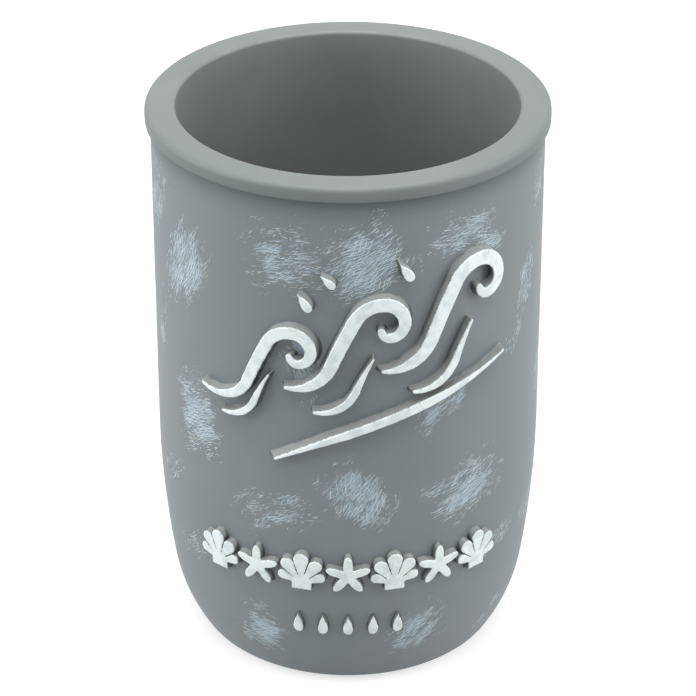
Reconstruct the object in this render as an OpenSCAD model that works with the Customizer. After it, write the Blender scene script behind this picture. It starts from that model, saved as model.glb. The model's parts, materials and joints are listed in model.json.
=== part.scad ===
/* [Cup] */
// Height from the surface it stands on to the top of the rim
cup_h = 110; // [104:0.5:118]
// Diameter over the rim
rim_d = 75; // [71:0.5:79]
// Thickness of the wall just under the rim
wall_t = 4.7; // [3.8:0.05:5.6]
// How much narrower the inside is at the floor than at the mouth, on the radius
inside_taper = 0.9; // [0.3:0.1:1.5]
// Thickness of the floor
floor_t = 6.2; // [4.5:0.1:8]
// Radius between the inside wall and the floor
floor_fillet_r = 9; // [4:0.5:12]
// How far the belly is wider than the neck, on the radius
belly_swell = 0.4; // [0.2:0.05:1]
// Height of the widest part of the wall
belly_h = 44; // [40:0.5:48]

/* [Rim] */
// Height of the rim's side
rim_t = 2.9; // [2.2:0.1:3.6]
// How far the rim stands out from the wall
rim_overhang = 1; // [0.8:0.05:1.6]
// Radius on the rim's upper outside edge
rim_top_edge_r = 1.1; // [0.5:0.1:1.3]
// Radius on the rim's lower outside edge
rim_low_edge_r = 0.4; // [0.2:0.1:0.7]
// Radius on the edge of the mouth
mouth_edge_r = 0.8; // [0.3:0.1:1.4]

/* [Heel] */
// Radius of the curve that carries the wall down to the base
heel_r = 34; // [30:0.5:37]
// Radius on the corner between that curve and the flat base
toe_r = 2.1; // [1:0.1:3]
// Angle from the vertical at which the wall turns into the heel
heel_start_angle = 8.1; // [7:0.1:9.5]
// Angle from the vertical at which the heel meets the toe
heel_end_angle = 31.1; // [27:0.1:36]

/* [Underside] */
// Diameter of a foot pad
pad_d = 8; // [6:0.5:10]
// Thickness of a foot pad
pad_t = 1.2; // [0.9:0.1:1.8]
// Radius on a foot pad's lower edge
pad_edge_r = 0.3; // [0.1:0.05:0.5]
// Depth of the pocket that a foot pad is glued into
pocket_depth = 0.6; // [0.3:0.1:0.8]
// Clearance round a foot pad in its pocket
pocket_clearance = 0.2; // [0.1:0.05:0.4]
// From the edge of the flat base to the foot pads
pad_inset = 3.2; // [2:0.1:5]
// Flat ring between the pockets and the shallow hollow in the middle of the base
hollow_margin = 2; // [1:0.5:6]
// Depth of that hollow
hollow_depth = 0.8; // [0.4:0.1:1.5]

/* [Waves] */
// How far the waves stand out from the wall
wave_relief = 1.9; // [1.2:0.1:2]
// Radius of the first wave's crest
wave_crest_r = 5.7; // [5:0.1:6]
// How much the crest's radius grows from wave to wave
wave_growth = 0.55; // [0.3:0.05:0.7]
// Widest stroke of the first wave
wave_stroke_w = 2.5; // [1.8:0.1:2.8]
// Room between one wave's curl and the back of the next wave
wave_gap = 1; // [0.9:0.1:2.9]
// How much higher each wave starts than the one before it
wave_rise = 3.9; // [3.4:0.1:5]
// Where the first wave starts, measured round the wall from the front
wave_start_s = 28.6; // [27:0.1:31]
// How far below the top of the rim the first wave starts
wave_drop = 44; // [43:0.1:45]
// Length of the long stroke under the waves
sweep_length = 49; // [44:0.5:52]
// Widest part of that stroke
sweep_w = 2; // [1.4:0.1:2.2]
// How far that stroke passes under the start of the last ripple, between their middle lines
sweep_gap = 3.8; // [3.4:0.1:6.4]
// Height of a drop of spray
spray_h = 4.4; // [3.4:0.1:5]

/* [Shells and stars] */
// How far the shells and stars stand out from the wall
band_relief = 1.4; // [0.8:0.1:1.8]
// What their pitch round the wall has over the mean of a shell's height and a star's
band_gap = 0.55; // [0.45:0.05:1.05]
// Height of the middle of their row
band_h = 30; // [28:0.5:33]
// Height of a shell
shell_h = 8.3; // [7.4:0.1:8.4]
// Height of a star, over its points
star_h = 8; // [7.2:0.1:8.2]

/* [Water drops] */
// How far the water drops stand out from the wall
drop_relief = 1; // [0.6:0.1:1.4]
// Height of a water drop
drop_h = 4.6; // [3.6:0.1:5.4]
// Distance between water drops, measured round the wall
drop_pitch = 4.9; // [3.8:0.1:5.6]
// Height of the middle of their row
drop_row_h = 17.2; // [16.8:0.1:20]

/* [Hidden] */
$fn = 96;
resin_grey = "#7A8283";
relief_white = "#E2E6E5";
pad_clear = "#C9CCCB";

// How far a cut runs past the surface that it cuts
overrun = 1;
// How far the middle of a chord may lie from the arc of the section that it stands for
chord_sag = 0.01;

// Outside of the cup, worked out from the sizes above
stand_h = pad_t - pocket_depth;
rim_r = rim_d / 2;
neck_r = rim_r - rim_overhang;
belly_r = neck_r + belly_swell;
rim_under_h = cup_h - rim_t;
side_angles = [0, heel_start_angle];
heel_angles = [heel_start_angle, heel_end_angle];
toe_angles = [heel_end_angle, 90];
heel_drop = heel_r * (sin(heel_end_angle) - sin(heel_start_angle)) + toe_r * (1 - sin(heel_end_angle));
side_r = (belly_h - stand_h - heel_drop) / sin(heel_start_angle);
side_centre = [belly_r - side_r, belly_h];
heel_centre = side_centre + (side_r - heel_r) * outward(heel_start_angle);
toe_centre = heel_centre + (heel_r - toe_r) * outward(heel_end_angle);
base_r = toe_centre.x;

// Inside of the cup
mouth_r = neck_r - wall_t;
floor_h = stand_h + floor_t;
mouth_edge_h = cup_h - mouth_edge_r;
inside_angle = atan(inside_taper / (mouth_edge_h - floor_h - floor_fillet_r));
fillet_h = floor_h + floor_fillet_r;
fillet_x = mouth_r - (mouth_edge_h - fillet_h) * tan(inside_angle) - floor_fillet_r / cos(inside_angle);
fillet_centre = [fillet_x, fillet_h];

// Places of the foot pads
pad_count = 4;
pad_r = pad_d / 2;
pad_ring_r = base_r - pad_inset - pad_r;
pocket_r = pad_r + pocket_clearance;
hollow_r = pad_ring_r - pocket_r - hollow_margin;

// Largest turn between two points of a stroke, fewest points, and the steps of its round ends
stroke_turn_step = 12;
stroke_least_steps = 3;
stroke_end_steps = 6;

// Strokes of a wave: length as a share of the crest's radius, turn in degrees, and width at the
// end as a share of the widest stroke
wave_tail_share = 0.25;
wave_stroke_shares = [
    [1.25, 50, 0.75], [0.9, 42, 0.95], [1.7, -6, 1], [1, -66, 1],
    [0.95, -84, 0.9], [0.66, -86, 0.75], [0.42, -86, 0.52]
];
wave_heading = -24;
// Later waves start later along their trough, at this share of its length
trough_share = 0.6;
// From the start of the first wave to the outside of its curl, as a share of the crest's radius
wave_reach_share = 2.825;
// From a wave's start to its middle, round the wall, as a share of the crest's radius
wave_middle_share = 2;
wave_count = 3;
// Distance between waves, measured round the wall, and the height at which the first one starts
wave_pitch = wave_reach_share * wave_crest_r + wave_gap;
wave_start_h = cup_h - wave_drop;

// The thinner stroke that follows the back of each wave, as shares of the same sizes
ripple_shares = [[0.7, 34, 0.56], [0.8, 40, 0.6], [1.15, -8, 0.18]];
ripple_heading = -6;
// From the start of a wave to the start of its ripple, as shares of the crest's radius
ripple_offset_shares = [0.85, -0.72];

// The long stroke under the waves, as shares of its length and of its widest part
sweep_shares = [[0.3, -8, 0.9], [0.33, -4, 1], [0.37, 2, 0.24]];
sweep_tip_share = 0.24;
sweep_heading = 29;
// From the start of the first wave to the start of the long stroke, as a share of the waves' pitch
sweep_start_share = 0.84;
sweep_start_s = wave_s(1) + sweep_start_share * wave_pitch;
// The long stroke's middle line, from its own start, places it under the start of the last ripple
sweep_line = [for (p = walk([[0, 0], sweep_heading, 0], arcs_from(sweep_shares, sweep_length, 0))) p[0]];
sweep_start_h = ripple_h(wave_count) - sweep_gap - lookup(ripple_s(wave_count) - sweep_start_s, sweep_line);

// Places of the spray, from the start of the waves, as shares of the waves' pitch, with each
// drop's size as a share of the spray's height and its lean in degrees
spray_shares = [[1.23, 1.26, 0.95, 35], [1.47, 1.52, 0.8, 46], [2.26, 1.6, 1, 34]];
spray_count = len(spray_shares);

// Ribs of a shell: angle from the middle rib, and length as a share of the longest rib
shell_rib_shares = [[-66, 0.72], [-33, 0.91], [0, 1], [33, 0.91], [66, 0.72]];
shell_rib_half_angle = 12.6;
shell_rib_spacing = 33;
// Where the gaps between the ribs end, and the hinge's half width and depth, as shares
shell_gap_share = 0.3;
shell_hinge_shares = [0.28, 0.2];
// Each rib's round end turns this far to either side of the rib
shell_lobe_turn = 100;
shell_lobe_steps = 8;

// Narrowest part of a star's arm and how the arms taper
star_arms = 5;
star_waist_share = 0.38;
star_taper = 1.1;
star_steps = 60;
band_count = 7;
// Distance between a shell's middle and a star's, measured round the wall
band_pitch = (shell_h + star_h) / 2 + band_gap;

// Half width of a drop as a share of its height, and how sharp its point is
drop_width_share = 0.3;
drop_point_power = 1.3;
drop_steps = 24;
drop_count = 5;

// Where the blocks that cut the relief out of its shell start, as a share of the belly's radius
relief_block_share = 0.55;

// Direction that leans down from the horizontal by an angle
function outward(angle) = [cos(angle), -sin(angle)];

// Points of an arc of the section, from its upper end to its lower one, moved out by grow
function arc_points(centre, r, angles, grow = 0) =
    let (steps = ceil((angles[1] - angles[0]) / (2 * acos(1 - chord_sag / r))))
    [for (k = [0:steps]) centre + (r + grow) * outward(angles[0] + (angles[1] - angles[0]) * k / steps)];

// A list without its first item
function rest_of(list) = [for (i = [1:len(list) - 1]) list[i]];

function heading(angle) = [cos(angle), sin(angle)];

function reversed(list) = [for (i = [len(list) - 1:-1:0]) list[i]];

// Shells and stars take turns along their row
function is_shell(i) = i % 2 == 1;

function band_name(i) = str(is_shell(i) ? "shell_" : "star_", ceil(i / 2));

// A distance round the wall as the angle that it spans at the belly
function wall_angle(s) = s / belly_r * 180 / PI;

// A point given by its distance round the wall, as seen straight from the front
function from_front(p) = [belly_r * sin(wall_angle(p.x)), p.y];

// Points of a stroke, each with its heading and width, found by walking along its arcs in turn.
// An arc is its length, its turn and the width at its end.
function walk(at, arcs, k = 0) =
    k == len(arcs) ? [at] : concat(walk_arc(at, arcs[k]), walk(arc_end(at, arcs[k]), arcs, k + 1));

function arc_steps(arc) = max(stroke_least_steps, ceil(abs(arc[1]) / stroke_turn_step));

function walk_arc(at, arc) =
    let (n = arc_steps(arc)) [for (i = [0:n - 1]) along(at, arc, i / n)];

function arc_end(at, arc) = along(at, arc, 1);

// The chord of an arc that turns is shorter than the arc
function chord_share(turn) = turn == 0 ? 1 : sin(turn / 2) / (turn / 2 * PI / 180);

function along(at, arc, u) =
    let (turn = arc[1] * u, chord = arc[0] * u * chord_share(turn))
    [at[0] + chord * heading(at[1] + turn / 2), at[1] + turn, at[2] + (arc[2] - at[2]) * u];

function stroke_side(points, way) =
    [for (p = points) p[0] + way * p[2] / 2 * heading(p[1] + 90)];

// A round end goes half way round the last point of a stroke
function stroke_end(p, from) =
    [for (i = [1:stroke_end_steps - 1]) p[0] + p[2] / 2 * heading(p[1] + from - 180 * i / stroke_end_steps)];

function stroke_outline(points) = concat(
    stroke_side(points, 1),
    stroke_end(points[len(points) - 1], 90),
    reversed(stroke_side(points, -1)),
    stroke_end(points[0], -90)
);

// Arcs of a stroke from its shares of a length and of a width
function arcs_from(shares, length, width) =
    [for (a = shares) [a[0] * length, a[1], a[2] * width]];

// Outline of the wall from under the rim down to the axis, moved out by grow
function outside_points(grow = 0) = concat(
    [[neck_r + grow, rim_under_h]],
    arc_points(side_centre, side_r, side_angles, grow),
    rest_of(arc_points(heel_centre, heel_r, heel_angles, grow)),
    rest_of(arc_points(toe_centre, toe_r, toe_angles, grow)),
    [[0, toe_centre.y - toe_r - grow]]
);

// Half of the upright section under the rim, filled to the axis
module outside_section(grow = 0) {
    polygon(concat([[0, rim_under_h]], outside_points(grow)));
}

// The same with the rim, whose outside edges are rounded
module filled_section() {
    difference() {
        polygon(concat([[0, cup_h], [rim_r, cup_h], [rim_r, rim_under_h]], outside_points()));
        translate([rim_r, cup_h]) edge_waste(rim_top_edge_r, [1, 1]);
        translate([rim_r, rim_under_h]) edge_waste(rim_low_edge_r, [1, -1]);
    }
}

// What a rounded edge takes off a square corner at the origin. The material lies towards
// the sides that way points away from.
module edge_waste(r, way) {
    difference() {
        translate([-way.x * r / 2, -way.y * r / 2]) square(r, center = true);
        translate([-way.x * r, -way.y * r]) circle(r);
    }
}

// The hollow, up past the rim, with its rounded mouth and floor
module inside_section() {
    polygon(concat(
        [[0, cup_h + overrun], [mouth_r, cup_h + overrun], [mouth_r, mouth_edge_h]],
        arc_points(fillet_centre, floor_fillet_r, [inside_angle, 90]),
        [[0, floor_h]]
    ));
    translate([mouth_r, cup_h]) edge_waste(mouth_edge_r, [-1, 1]);
}

module at_pads() {
    for (i = [1:pad_count]) at_pad(i) children();
}

module at_pad(i) {
    rotate([0, 0, 360 * (i - 0.5) / pad_count]) translate([pad_ring_r, 0, 0]) children();
}

module cup_casting() {
    color(resin_grey) difference() {
        rotate_extrude() difference() {
            filled_section();
            inside_section();
        }
        at_pads() translate([0, 0, stand_h - overrun]) {
            cylinder(h = pocket_depth + overrun, r = pocket_r);
        }
        translate([0, 0, stand_h - overrun]) {
            cylinder(h = hollow_depth + overrun, r = hollow_r);
        }
    }
}

module foot_pad(i) {
    color(pad_clear) at_pad(i) rotate_extrude() difference() {
        square([pad_r, pad_t]);
        translate([pad_r, 0]) edge_waste(pad_edge_r, [1, -1]);
    }
}

// Cuts an outline, drawn on the unrolled wall, out of a shell that lies on the wall. The
// outline's own zero sits at a distance round the wall from the front.
module raised(outline, relief, s = 0) {
    block_start = belly_r * relief_block_share;
    color(relief_white) intersection() {
        rotate([90, 0, wall_angle(s)]) translate([0, 0, block_start]) {
            linear_extrude(height = belly_r + relief + overrun - block_start) {
                polygon([for (p = outline) from_front(p)]);
            }
        }
        rotate_extrude() difference() {
            outside_section(relief);
            outside_section();
        }
    }
}

function wave_r(i) = wave_crest_r + (i - 1) * wave_growth;

function wave_w(i) = wave_stroke_w * wave_r(i) / wave_crest_r;

function wave_s(i) = -wave_start_s + (i - 1) * wave_pitch;

function wave_h(i) = wave_start_h + (i - 1) * wave_rise;

// The first wave has its whole trough, and the others the later part of it
function wave_shares(i) =
    let (first = wave_stroke_shares[0], kept = i == 1 ? 1 : trough_share)
    [
        [first[0] * kept, first[1] * kept, first[2]],
        for (k = [1:len(wave_stroke_shares) - 1]) wave_stroke_shares[k]
    ];

function wave_mid_s(i) = wave_s(i) + wave_middle_share * wave_r(i);

// Where a ripple starts
function ripple_s(i) = wave_s(i) + ripple_offset_shares[0] * wave_r(i);

function ripple_h(i) = wave_h(i) + ripple_offset_shares[1] * wave_r(i);

// Outline of a stroke that starts at a place, with a heading and a width
function stroke_from(place, angle, width, arcs) = stroke_outline(walk([place, angle, width], arcs));

module wave_crest(i) {
    place = [wave_s(i) - wave_mid_s(i), wave_h(i)];
    turn_left = i == 1 ? 0 : wave_stroke_shares[0][1] * (1 - trough_share);
    arcs = arcs_from(wave_shares(i), wave_r(i), wave_w(i));
    outline = stroke_from(place, wave_heading + turn_left, wave_tail_share * wave_w(i), arcs);
    raised(outline, wave_relief, wave_mid_s(i));
}

module wave_ripple(i) {
    place = [ripple_s(i) - wave_mid_s(i), ripple_h(i)];
    arcs = arcs_from(ripple_shares, wave_r(i), wave_w(i));
    outline = stroke_from(place, ripple_heading, wave_tail_share * wave_w(i), arcs);
    raised(outline, wave_relief, wave_mid_s(i));
}

module wave_sweep() {
    place = [-sweep_length / 2, sweep_start_h];
    arcs = arcs_from(sweep_shares, sweep_length, sweep_w);
    outline = stroke_from(place, sweep_heading, sweep_tip_share * sweep_w, arcs);
    raised(outline, wave_relief, sweep_start_s + sweep_length / 2);
}

// A drop, round below and pointed above, whose point leans over to the left
function drop_outline(h, lean = 0) = [
    for (k = [0:drop_steps - 1])
        let (
            t = 360 * k / drop_steps,
            x = h * drop_width_share * sin(t) * pow(sin(t / 2), drop_point_power),
            y = h / 2 * cos(t)
        )
        [x * cos(lean) - y * sin(lean), x * sin(lean) + y * cos(lean)]
];

function moved(points, by) = [for (p = points) p + by];

module spray_drop(i) {
    place = spray_shares[i - 1];
    up = wave_start_h + place[1] * wave_pitch;
    raised(
        moved(drop_outline(spray_h * place[2], place[3]), [0, up]),
        wave_relief,
        place[0] * wave_pitch - wave_start_s
    );
}

// One rib of a shell and its round lobe, as angles from upright and distances from the hinge
function shell_rib(rib, r) =
    let (lobe = r * rib[1] * sin(shell_rib_half_angle), mid = r * rib[1] - lobe)
    concat(
        [r * shell_gap_share * up_turned(rib[0] - shell_rib_spacing / 2)],
        [for (k = [0:shell_lobe_steps])
            mid * up_turned(rib[0]) + lobe * up_turned(rib[0] + shell_lobe_turn * (2 * k / shell_lobe_steps - 1))],
        [r * shell_gap_share * up_turned(rib[0] + shell_rib_spacing / 2)]
    );

function up_turned(angle) = [sin(angle), cos(angle)];

// A shell's longest rib
function shell_r(h) = h / (1 + shell_hinge_shares[1]);

// A scallop: ribs that fan from a short hinge
function shell_outline(h) =
    let (r = shell_r(h), half = shell_hinge_shares[0] * r, low = shell_hinge_shares[1] * r)
    concat(
        [for (rib = shell_rib_shares) each shell_rib(rib, r)],
        [[half, 0], [half, -low], [-half, -low], [-half, 0]]
    );

function star_outline(h) = [
    for (k = [0:star_steps - 1])
        let (
            t = 360 * k / star_steps,
            arm = pow((1 + cos(star_arms * t)) / 2, star_taper)
        )
        star_r(h) * (star_waist_share + (1 - star_waist_share) * arm) * up_turned(t)
];

// From a star's centre to its points, one of which points straight up
function star_r(h) = h / (1 + cos(180 / star_arms));

// Both stand with the middle of their height on the middle of the row
module band_piece(i) {
    outline = is_shell(i)
        ? moved(shell_outline(shell_h), [0, band_h + shell_h / 2 - shell_r(shell_h)])
        : moved(star_outline(star_h), [0, band_h + star_h / 2 - star_r(star_h)]);
    raised(outline, band_relief, in_row(i, band_count) * band_pitch);
}

// Place of a piece in a row that is centred on the front, in steps of the row's pitch
function in_row(i, count) = i - (count + 1) / 2;

module water_drop(i) {
    outline = moved(drop_outline(drop_h), [0, drop_row_h]);
    raised(outline, drop_relief, in_row(i, drop_count) * drop_pitch);
}

cup_casting();
for (i = [1:pad_count]) foot_pad(i);
for (i = [1:wave_count]) wave_crest(i);
for (i = [1:wave_count]) wave_ripple(i);
wave_sweep();
for (i = [1:spray_count]) spray_drop(i);
for (i = [1:band_count]) band_piece(i);
for (i = [1:drop_count]) water_drop(i);
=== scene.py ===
"""Bathroom tumbler: a cup cast in grey stone-like resin, with white-topped raised decoration.

The cup is one turned surface, dry-brushed in bluish white. Each raised piece is a closed surface of rings
that follows the wall. Lengths are in metres unless a name says otherwise. Heights are above the surface
that the tumbler stands on, the front of the tumbler faces -Y, and a place on the wall is given by its
distance round the belly from the front and its height.
"""
import json
import logging
import math
from dataclasses import dataclass, field
from enum import Enum
from typing import Sequence, Union

import bpy
import numpy as np
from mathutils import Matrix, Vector

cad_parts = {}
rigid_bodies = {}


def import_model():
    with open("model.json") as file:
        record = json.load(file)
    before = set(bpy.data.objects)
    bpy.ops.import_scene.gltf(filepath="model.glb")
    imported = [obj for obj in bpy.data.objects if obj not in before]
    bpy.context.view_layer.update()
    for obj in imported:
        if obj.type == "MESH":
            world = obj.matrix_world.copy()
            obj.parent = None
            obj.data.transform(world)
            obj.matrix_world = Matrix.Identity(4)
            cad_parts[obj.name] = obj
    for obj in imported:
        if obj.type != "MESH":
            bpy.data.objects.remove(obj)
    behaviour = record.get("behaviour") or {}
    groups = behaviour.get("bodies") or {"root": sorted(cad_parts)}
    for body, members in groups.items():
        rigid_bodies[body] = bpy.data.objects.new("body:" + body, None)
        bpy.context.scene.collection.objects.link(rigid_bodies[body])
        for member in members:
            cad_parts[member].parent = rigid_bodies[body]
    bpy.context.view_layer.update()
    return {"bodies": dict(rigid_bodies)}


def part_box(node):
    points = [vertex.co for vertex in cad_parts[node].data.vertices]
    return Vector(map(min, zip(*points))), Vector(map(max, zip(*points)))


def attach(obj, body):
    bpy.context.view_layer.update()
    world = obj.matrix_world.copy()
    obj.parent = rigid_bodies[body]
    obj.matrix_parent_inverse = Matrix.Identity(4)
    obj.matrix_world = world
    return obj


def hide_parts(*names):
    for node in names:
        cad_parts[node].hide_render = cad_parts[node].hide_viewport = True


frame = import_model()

MM = 0.001
QUARTER = 0.5 * math.pi
TURN = 2.0 * math.pi
TINY = 1e-9
# How far in the middle of a rounded edge lies, as a share of its radius
CORNER_SHARE = 0.3
# For each sine of the soft unevenness: its pitch along a and along b, and its share of the phase
UNEVEN_SINES = ((1.0, 0.7, 1.0), (-1.3, 1.9, 2.1), (2.7, 2.3, 3.7))
SHARP_FROM = math.radians(40)
BODY = next(iter(frame["bodies"]))
Array = np.ndarray
Socket = bpy.types.NodeSocket
Feed = Union[Socket, float]
Colour = tuple[float, float, float]
Place = tuple[float, float, float]
Paint = Union[Socket, Colour]
Shares = Sequence[Sequence[float]]
Thing = bpy.types.Object

log = logging.getLogger("tumbler")


class Slot(Enum):
    """The record's material slots."""

    RESIN = "grey_resin"
    RELIEF = "white_relief"
    PAD = "pad_rubber"


class Motif(Enum):
    """What stands in the row of shells and stars."""

    SHELL = "shell"
    STAR = "star"


def smooth(x: Array) -> Array:
    """Eases from 0 to 1: 3 x^2 - 2 x^3, with x held between 0 and 1."""
    held = np.clip(x, 0.0, 1.0)
    return held * held * (3.0 - 2.0 * held)


def wrapped(angle: Array) -> Array:
    """The same angle between minus half a turn and half a turn."""
    return (angle + math.pi) % TURN - math.pi


def uneven(a: Array, b: Array, phase: float) -> Array:
    """A soft unevenness between about -1 and 1: the mean of three sines of a and b at different pitches.

    Args:
        a, b: Coordinates in radians.
        phase: Shifts the pattern, so that two pieces differ.
    Returns:
        An array of the shape of a and b.
    """
    return sum(np.sin(p * a + q * b + share * phase) for p, q, share in UNEVEN_SINES) / len(UNEVEN_SINES)


def turned(points: Array, angle: float) -> Array:
    """Points of the wall's plane turned anticlockwise about its zero."""
    c, s = math.cos(angle), math.sin(angle)
    return points @ np.array([[c, s], [-s, c]])


def anticlockwise(points: Array) -> Array:
    """The same closed outline, going anticlockwise: its sum of x dy - y dx is made positive."""
    ahead = np.roll(points, -1, axis=0)
    return points if np.sum(points[:, 0] * ahead[:, 1] - ahead[:, 0] * points[:, 1]) > 0 else points[::-1]


def evenly_spaced(points: Array, spacing: float) -> Array:
    """A closed outline walked at even steps: its points are read off at equal distances along it.

    Args:
        points: The outline's corners.
        spacing: About how far apart the new points lie.
    Returns:
        The new points.
    """
    closed = np.concatenate([points, points[:1]])
    along = np.concatenate([[0.0], np.cumsum(np.linalg.norm(np.diff(closed, axis=0), axis=1))])
    at = np.linspace(0.0, along[-1], int(round(along[-1] / spacing)), endpoint=False)
    return np.stack([np.interp(at, along, closed[:, k]) for k in range(2)], axis=1)


def outward_normals(points: Array) -> Array:
    """Normals of an anticlockwise outline: the way along it at each point, turned clockwise by a quarter."""
    way = np.roll(points, -1, axis=0) - np.roll(points, 1, axis=0)
    return way @ np.array([[0.0, -1.0], [1.0, 0.0]]) / np.linalg.norm(way, axis=1, keepdims=True)


@dataclass
class Skin:
    """A mesh in the making: its points, its faces and what it carries on each point."""

    points: Array
    quads: Array
    triangles: Array
    values: dict[str, Array] = field(default_factory=dict)

    def piece(self, name: str, finish: bpy.types.Material, slot: Slot, node: str) -> Thing:
        """Makes the object, gives it its finish and lets it stand for a CAD node.

        Args:
            name: The piece's name.
            finish: Its material.
            slot: The record's slot that the finish belongs to. It is not used.
            node: The CAD node that it replaces.
        Returns:
            The new object, at the origin, with its place in its mesh.
        """
        mesh = bpy.data.meshes.new(name)
        mesh.vertices.add(len(self.points))
        mesh.vertices.foreach_set("co", self.points.astype(np.float32).ravel())
        loops = np.concatenate([self.quads.ravel(), self.triangles.ravel()]).astype(np.int32)
        quad_starts = 4 * np.arange(len(self.quads))
        starts = np.concatenate([quad_starts, self.quads.size + 3 * np.arange(len(self.triangles))])
        mesh.loops.add(len(loops))
        mesh.loops.foreach_set("vertex_index", loops)
        mesh.polygons.add(len(starts))
        mesh.polygons.foreach_set("loop_start", starts.astype(np.int32))
        mesh.update(calc_edges=True)
        mesh.validate()
        mesh.shade_smooth()
        mesh.set_sharp_from_angle(angle=SHARP_FROM)
        for key, value in self.values.items():
            kind, part = ("FLOAT_VECTOR", "vector") if value.ndim == 2 else ("FLOAT", "value")
            layer = mesh.attributes.new(key, kind, "POINT")
            layer.data.foreach_set(part, value.astype(np.float32).ravel())
        mesh.materials.append(finish)
        made = bpy.data.objects.new(name, mesh)
        bpy.context.scene.collection.objects.link(made)
        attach(made, BODY)
        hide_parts(node)
        log.info("%s: %d points, %d faces", name, len(self.points), len(starts))
        return made


def turned_skin(section: Array, around: int) -> Skin:
    """Turns a section about the Z axis: point (i, j) is (r_i sin a_j, -r_i cos a_j, z_i), a_j = 2 pi j / n.

    The section starts and ends on the axis, and these two points become poles.

    Args:
        section: Its radii and heights, which start at the bottom and go round with the material inside.
        around: How many points a turn has, n.
    Returns:
        A closed skin that faces outwards.
    """
    angle = TURN * np.arange(around) / around
    r, z = section[1:-1, :1], section[1:-1, 1:]
    ring = np.stack([r * np.sin(angle), -r * np.cos(angle), z + 0.0 * angle], axis=-1)
    poles = np.stack([np.zeros(2), np.zeros(2), section[[0, -1], 1]], axis=1)
    count = len(r) * around
    index = np.arange(count).reshape(len(r), around)
    right = np.roll(index, -1, axis=1)
    quads = np.stack([index[:-1], right[:-1], right[1:], index[1:]], axis=-1).reshape(-1, 4)
    below = np.stack([np.full(around, count), right[0], index[0]], axis=-1)
    above = np.stack([np.full(around, count + 1), index[-1], right[-1]], axis=-1)
    return Skin(np.concatenate([ring.reshape(-1, 3), poles]), quads, np.concatenate([below, above]))


@dataclass
class Wall:
    """The outside of the cup under its rim: a shallow cone over a side, a heel and a toe, each one arc."""

    rim_r: float
    cup_h: float
    stand_h: float
    rim_t: float = 2.9 * MM
    rim_overhang: float = 1.0 * MM
    belly_swell: float = 0.4 * MM
    belly_h: float = 44.0 * MM
    heel_r: float = 34.0 * MM
    toe_r: float = 2.1 * MM
    heel_start_angle: float = math.radians(8.1)
    heel_end_angle: float = math.radians(31.1)

    def __post_init__(self) -> None:
        """Works out the arcs' radii and centres, each arc tangent to the next."""
        start, end = self.heel_start_angle, self.heel_end_angle
        self.under_h = self.cup_h - self.rim_t
        self.neck_r = self.rim_r - self.rim_overhang
        self.belly_r = self.neck_r + self.belly_swell
        drop = self.heel_r * (math.sin(end) - math.sin(start)) + self.toe_r * (1.0 - math.sin(end))
        self.side_r = (self.belly_h - self.stand_h - drop) / math.sin(start)
        self.side_centre = np.array([self.belly_r - self.side_r, self.belly_h])
        self.heel_centre = self.side_centre + (self.side_r - self.heel_r) * self.outward(start)
        self.toe_centre = self.heel_centre + (self.heel_r - self.toe_r) * self.outward(end)
        self.base_r = float(self.toe_centre[0])

    @staticmethod
    def outward(angle: Union[float, Array]) -> Array:
        """The way that leans down from the horizontal by an angle, (cos a, -sin a)."""
        return np.stack([np.cos(angle), -np.sin(angle)], axis=-1)

    def arc(self, centre: Array, r: float, ends: Sequence[float], count: int, whole: bool = False) -> Array:
        """Evenly spaced points of an arc, centre + r (cos a, -sin a), with its last one only if whole."""
        return centre + r * self.outward(np.linspace(*ends, count, endpoint=whole))

    def radius(self, height: Array) -> Array:
        """Radius of the wall: a straight line over the belly, and x_c + sqrt(r^2 - (z - z_c)^2) under it.

        Args:
            height: Heights on the wall, z.
        Returns:
            The radius at each.
        """
        cone = self.belly_r - self.belly_swell * (height - self.belly_h) / (self.under_h - self.belly_h)
        circles = (
            (self.side_centre, self.side_r), (self.heel_centre, self.heel_r), (self.toe_centre, self.toe_r),
        )
        arcs = [x + np.sqrt(np.maximum(r * r - (height - z) ** 2, 0.0)) for (x, z), r in circles]
        heel_top = self.heel_centre[1] - self.heel_r * math.sin(self.heel_start_angle)
        toe_top = self.toe_centre[1] - self.toe_r * math.sin(self.heel_end_angle)
        over = [height >= limit for limit in (self.belly_h, heel_top, toe_top)]
        return np.select(over, [cone, *arcs[:2]], arcs[2])

    def stand_proud(self, local: Array, mid_s: float, lift: Array) -> Array:
        """Points over the wall: x = R sin(s / R) is kept, with the belly's R, and the rest goes to depth.

        Args:
            local: Distance round the belly from the piece's middle, s, and height.
            mid_s: Where the piece's middle lies, round the belly from the front.
            lift: How far each point stands out from the wall.
        Returns:
            The points in space.
        """
        x = self.belly_r * np.sin(local[:, 0] / self.belly_r)
        r = self.radius(local[:, 1]) + lift
        angle = np.arcsin(np.clip(x / r, -1.0, 1.0)) + mid_s / self.belly_r
        return np.stack([r * np.sin(angle), -r * np.cos(angle), local[:, 1]], axis=1)


@dataclass(frozen=True)
class Grain:
    """Noise: its steps in a unit of length, and how fine and rough it goes on."""

    scale: float
    detail: float = 2.0
    rough: float = 0.5


@dataclass(frozen=True)
class Ease:
    """A soft step, from 0 at low to top at high."""

    low: float
    high: float
    top: float = 1.0


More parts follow.
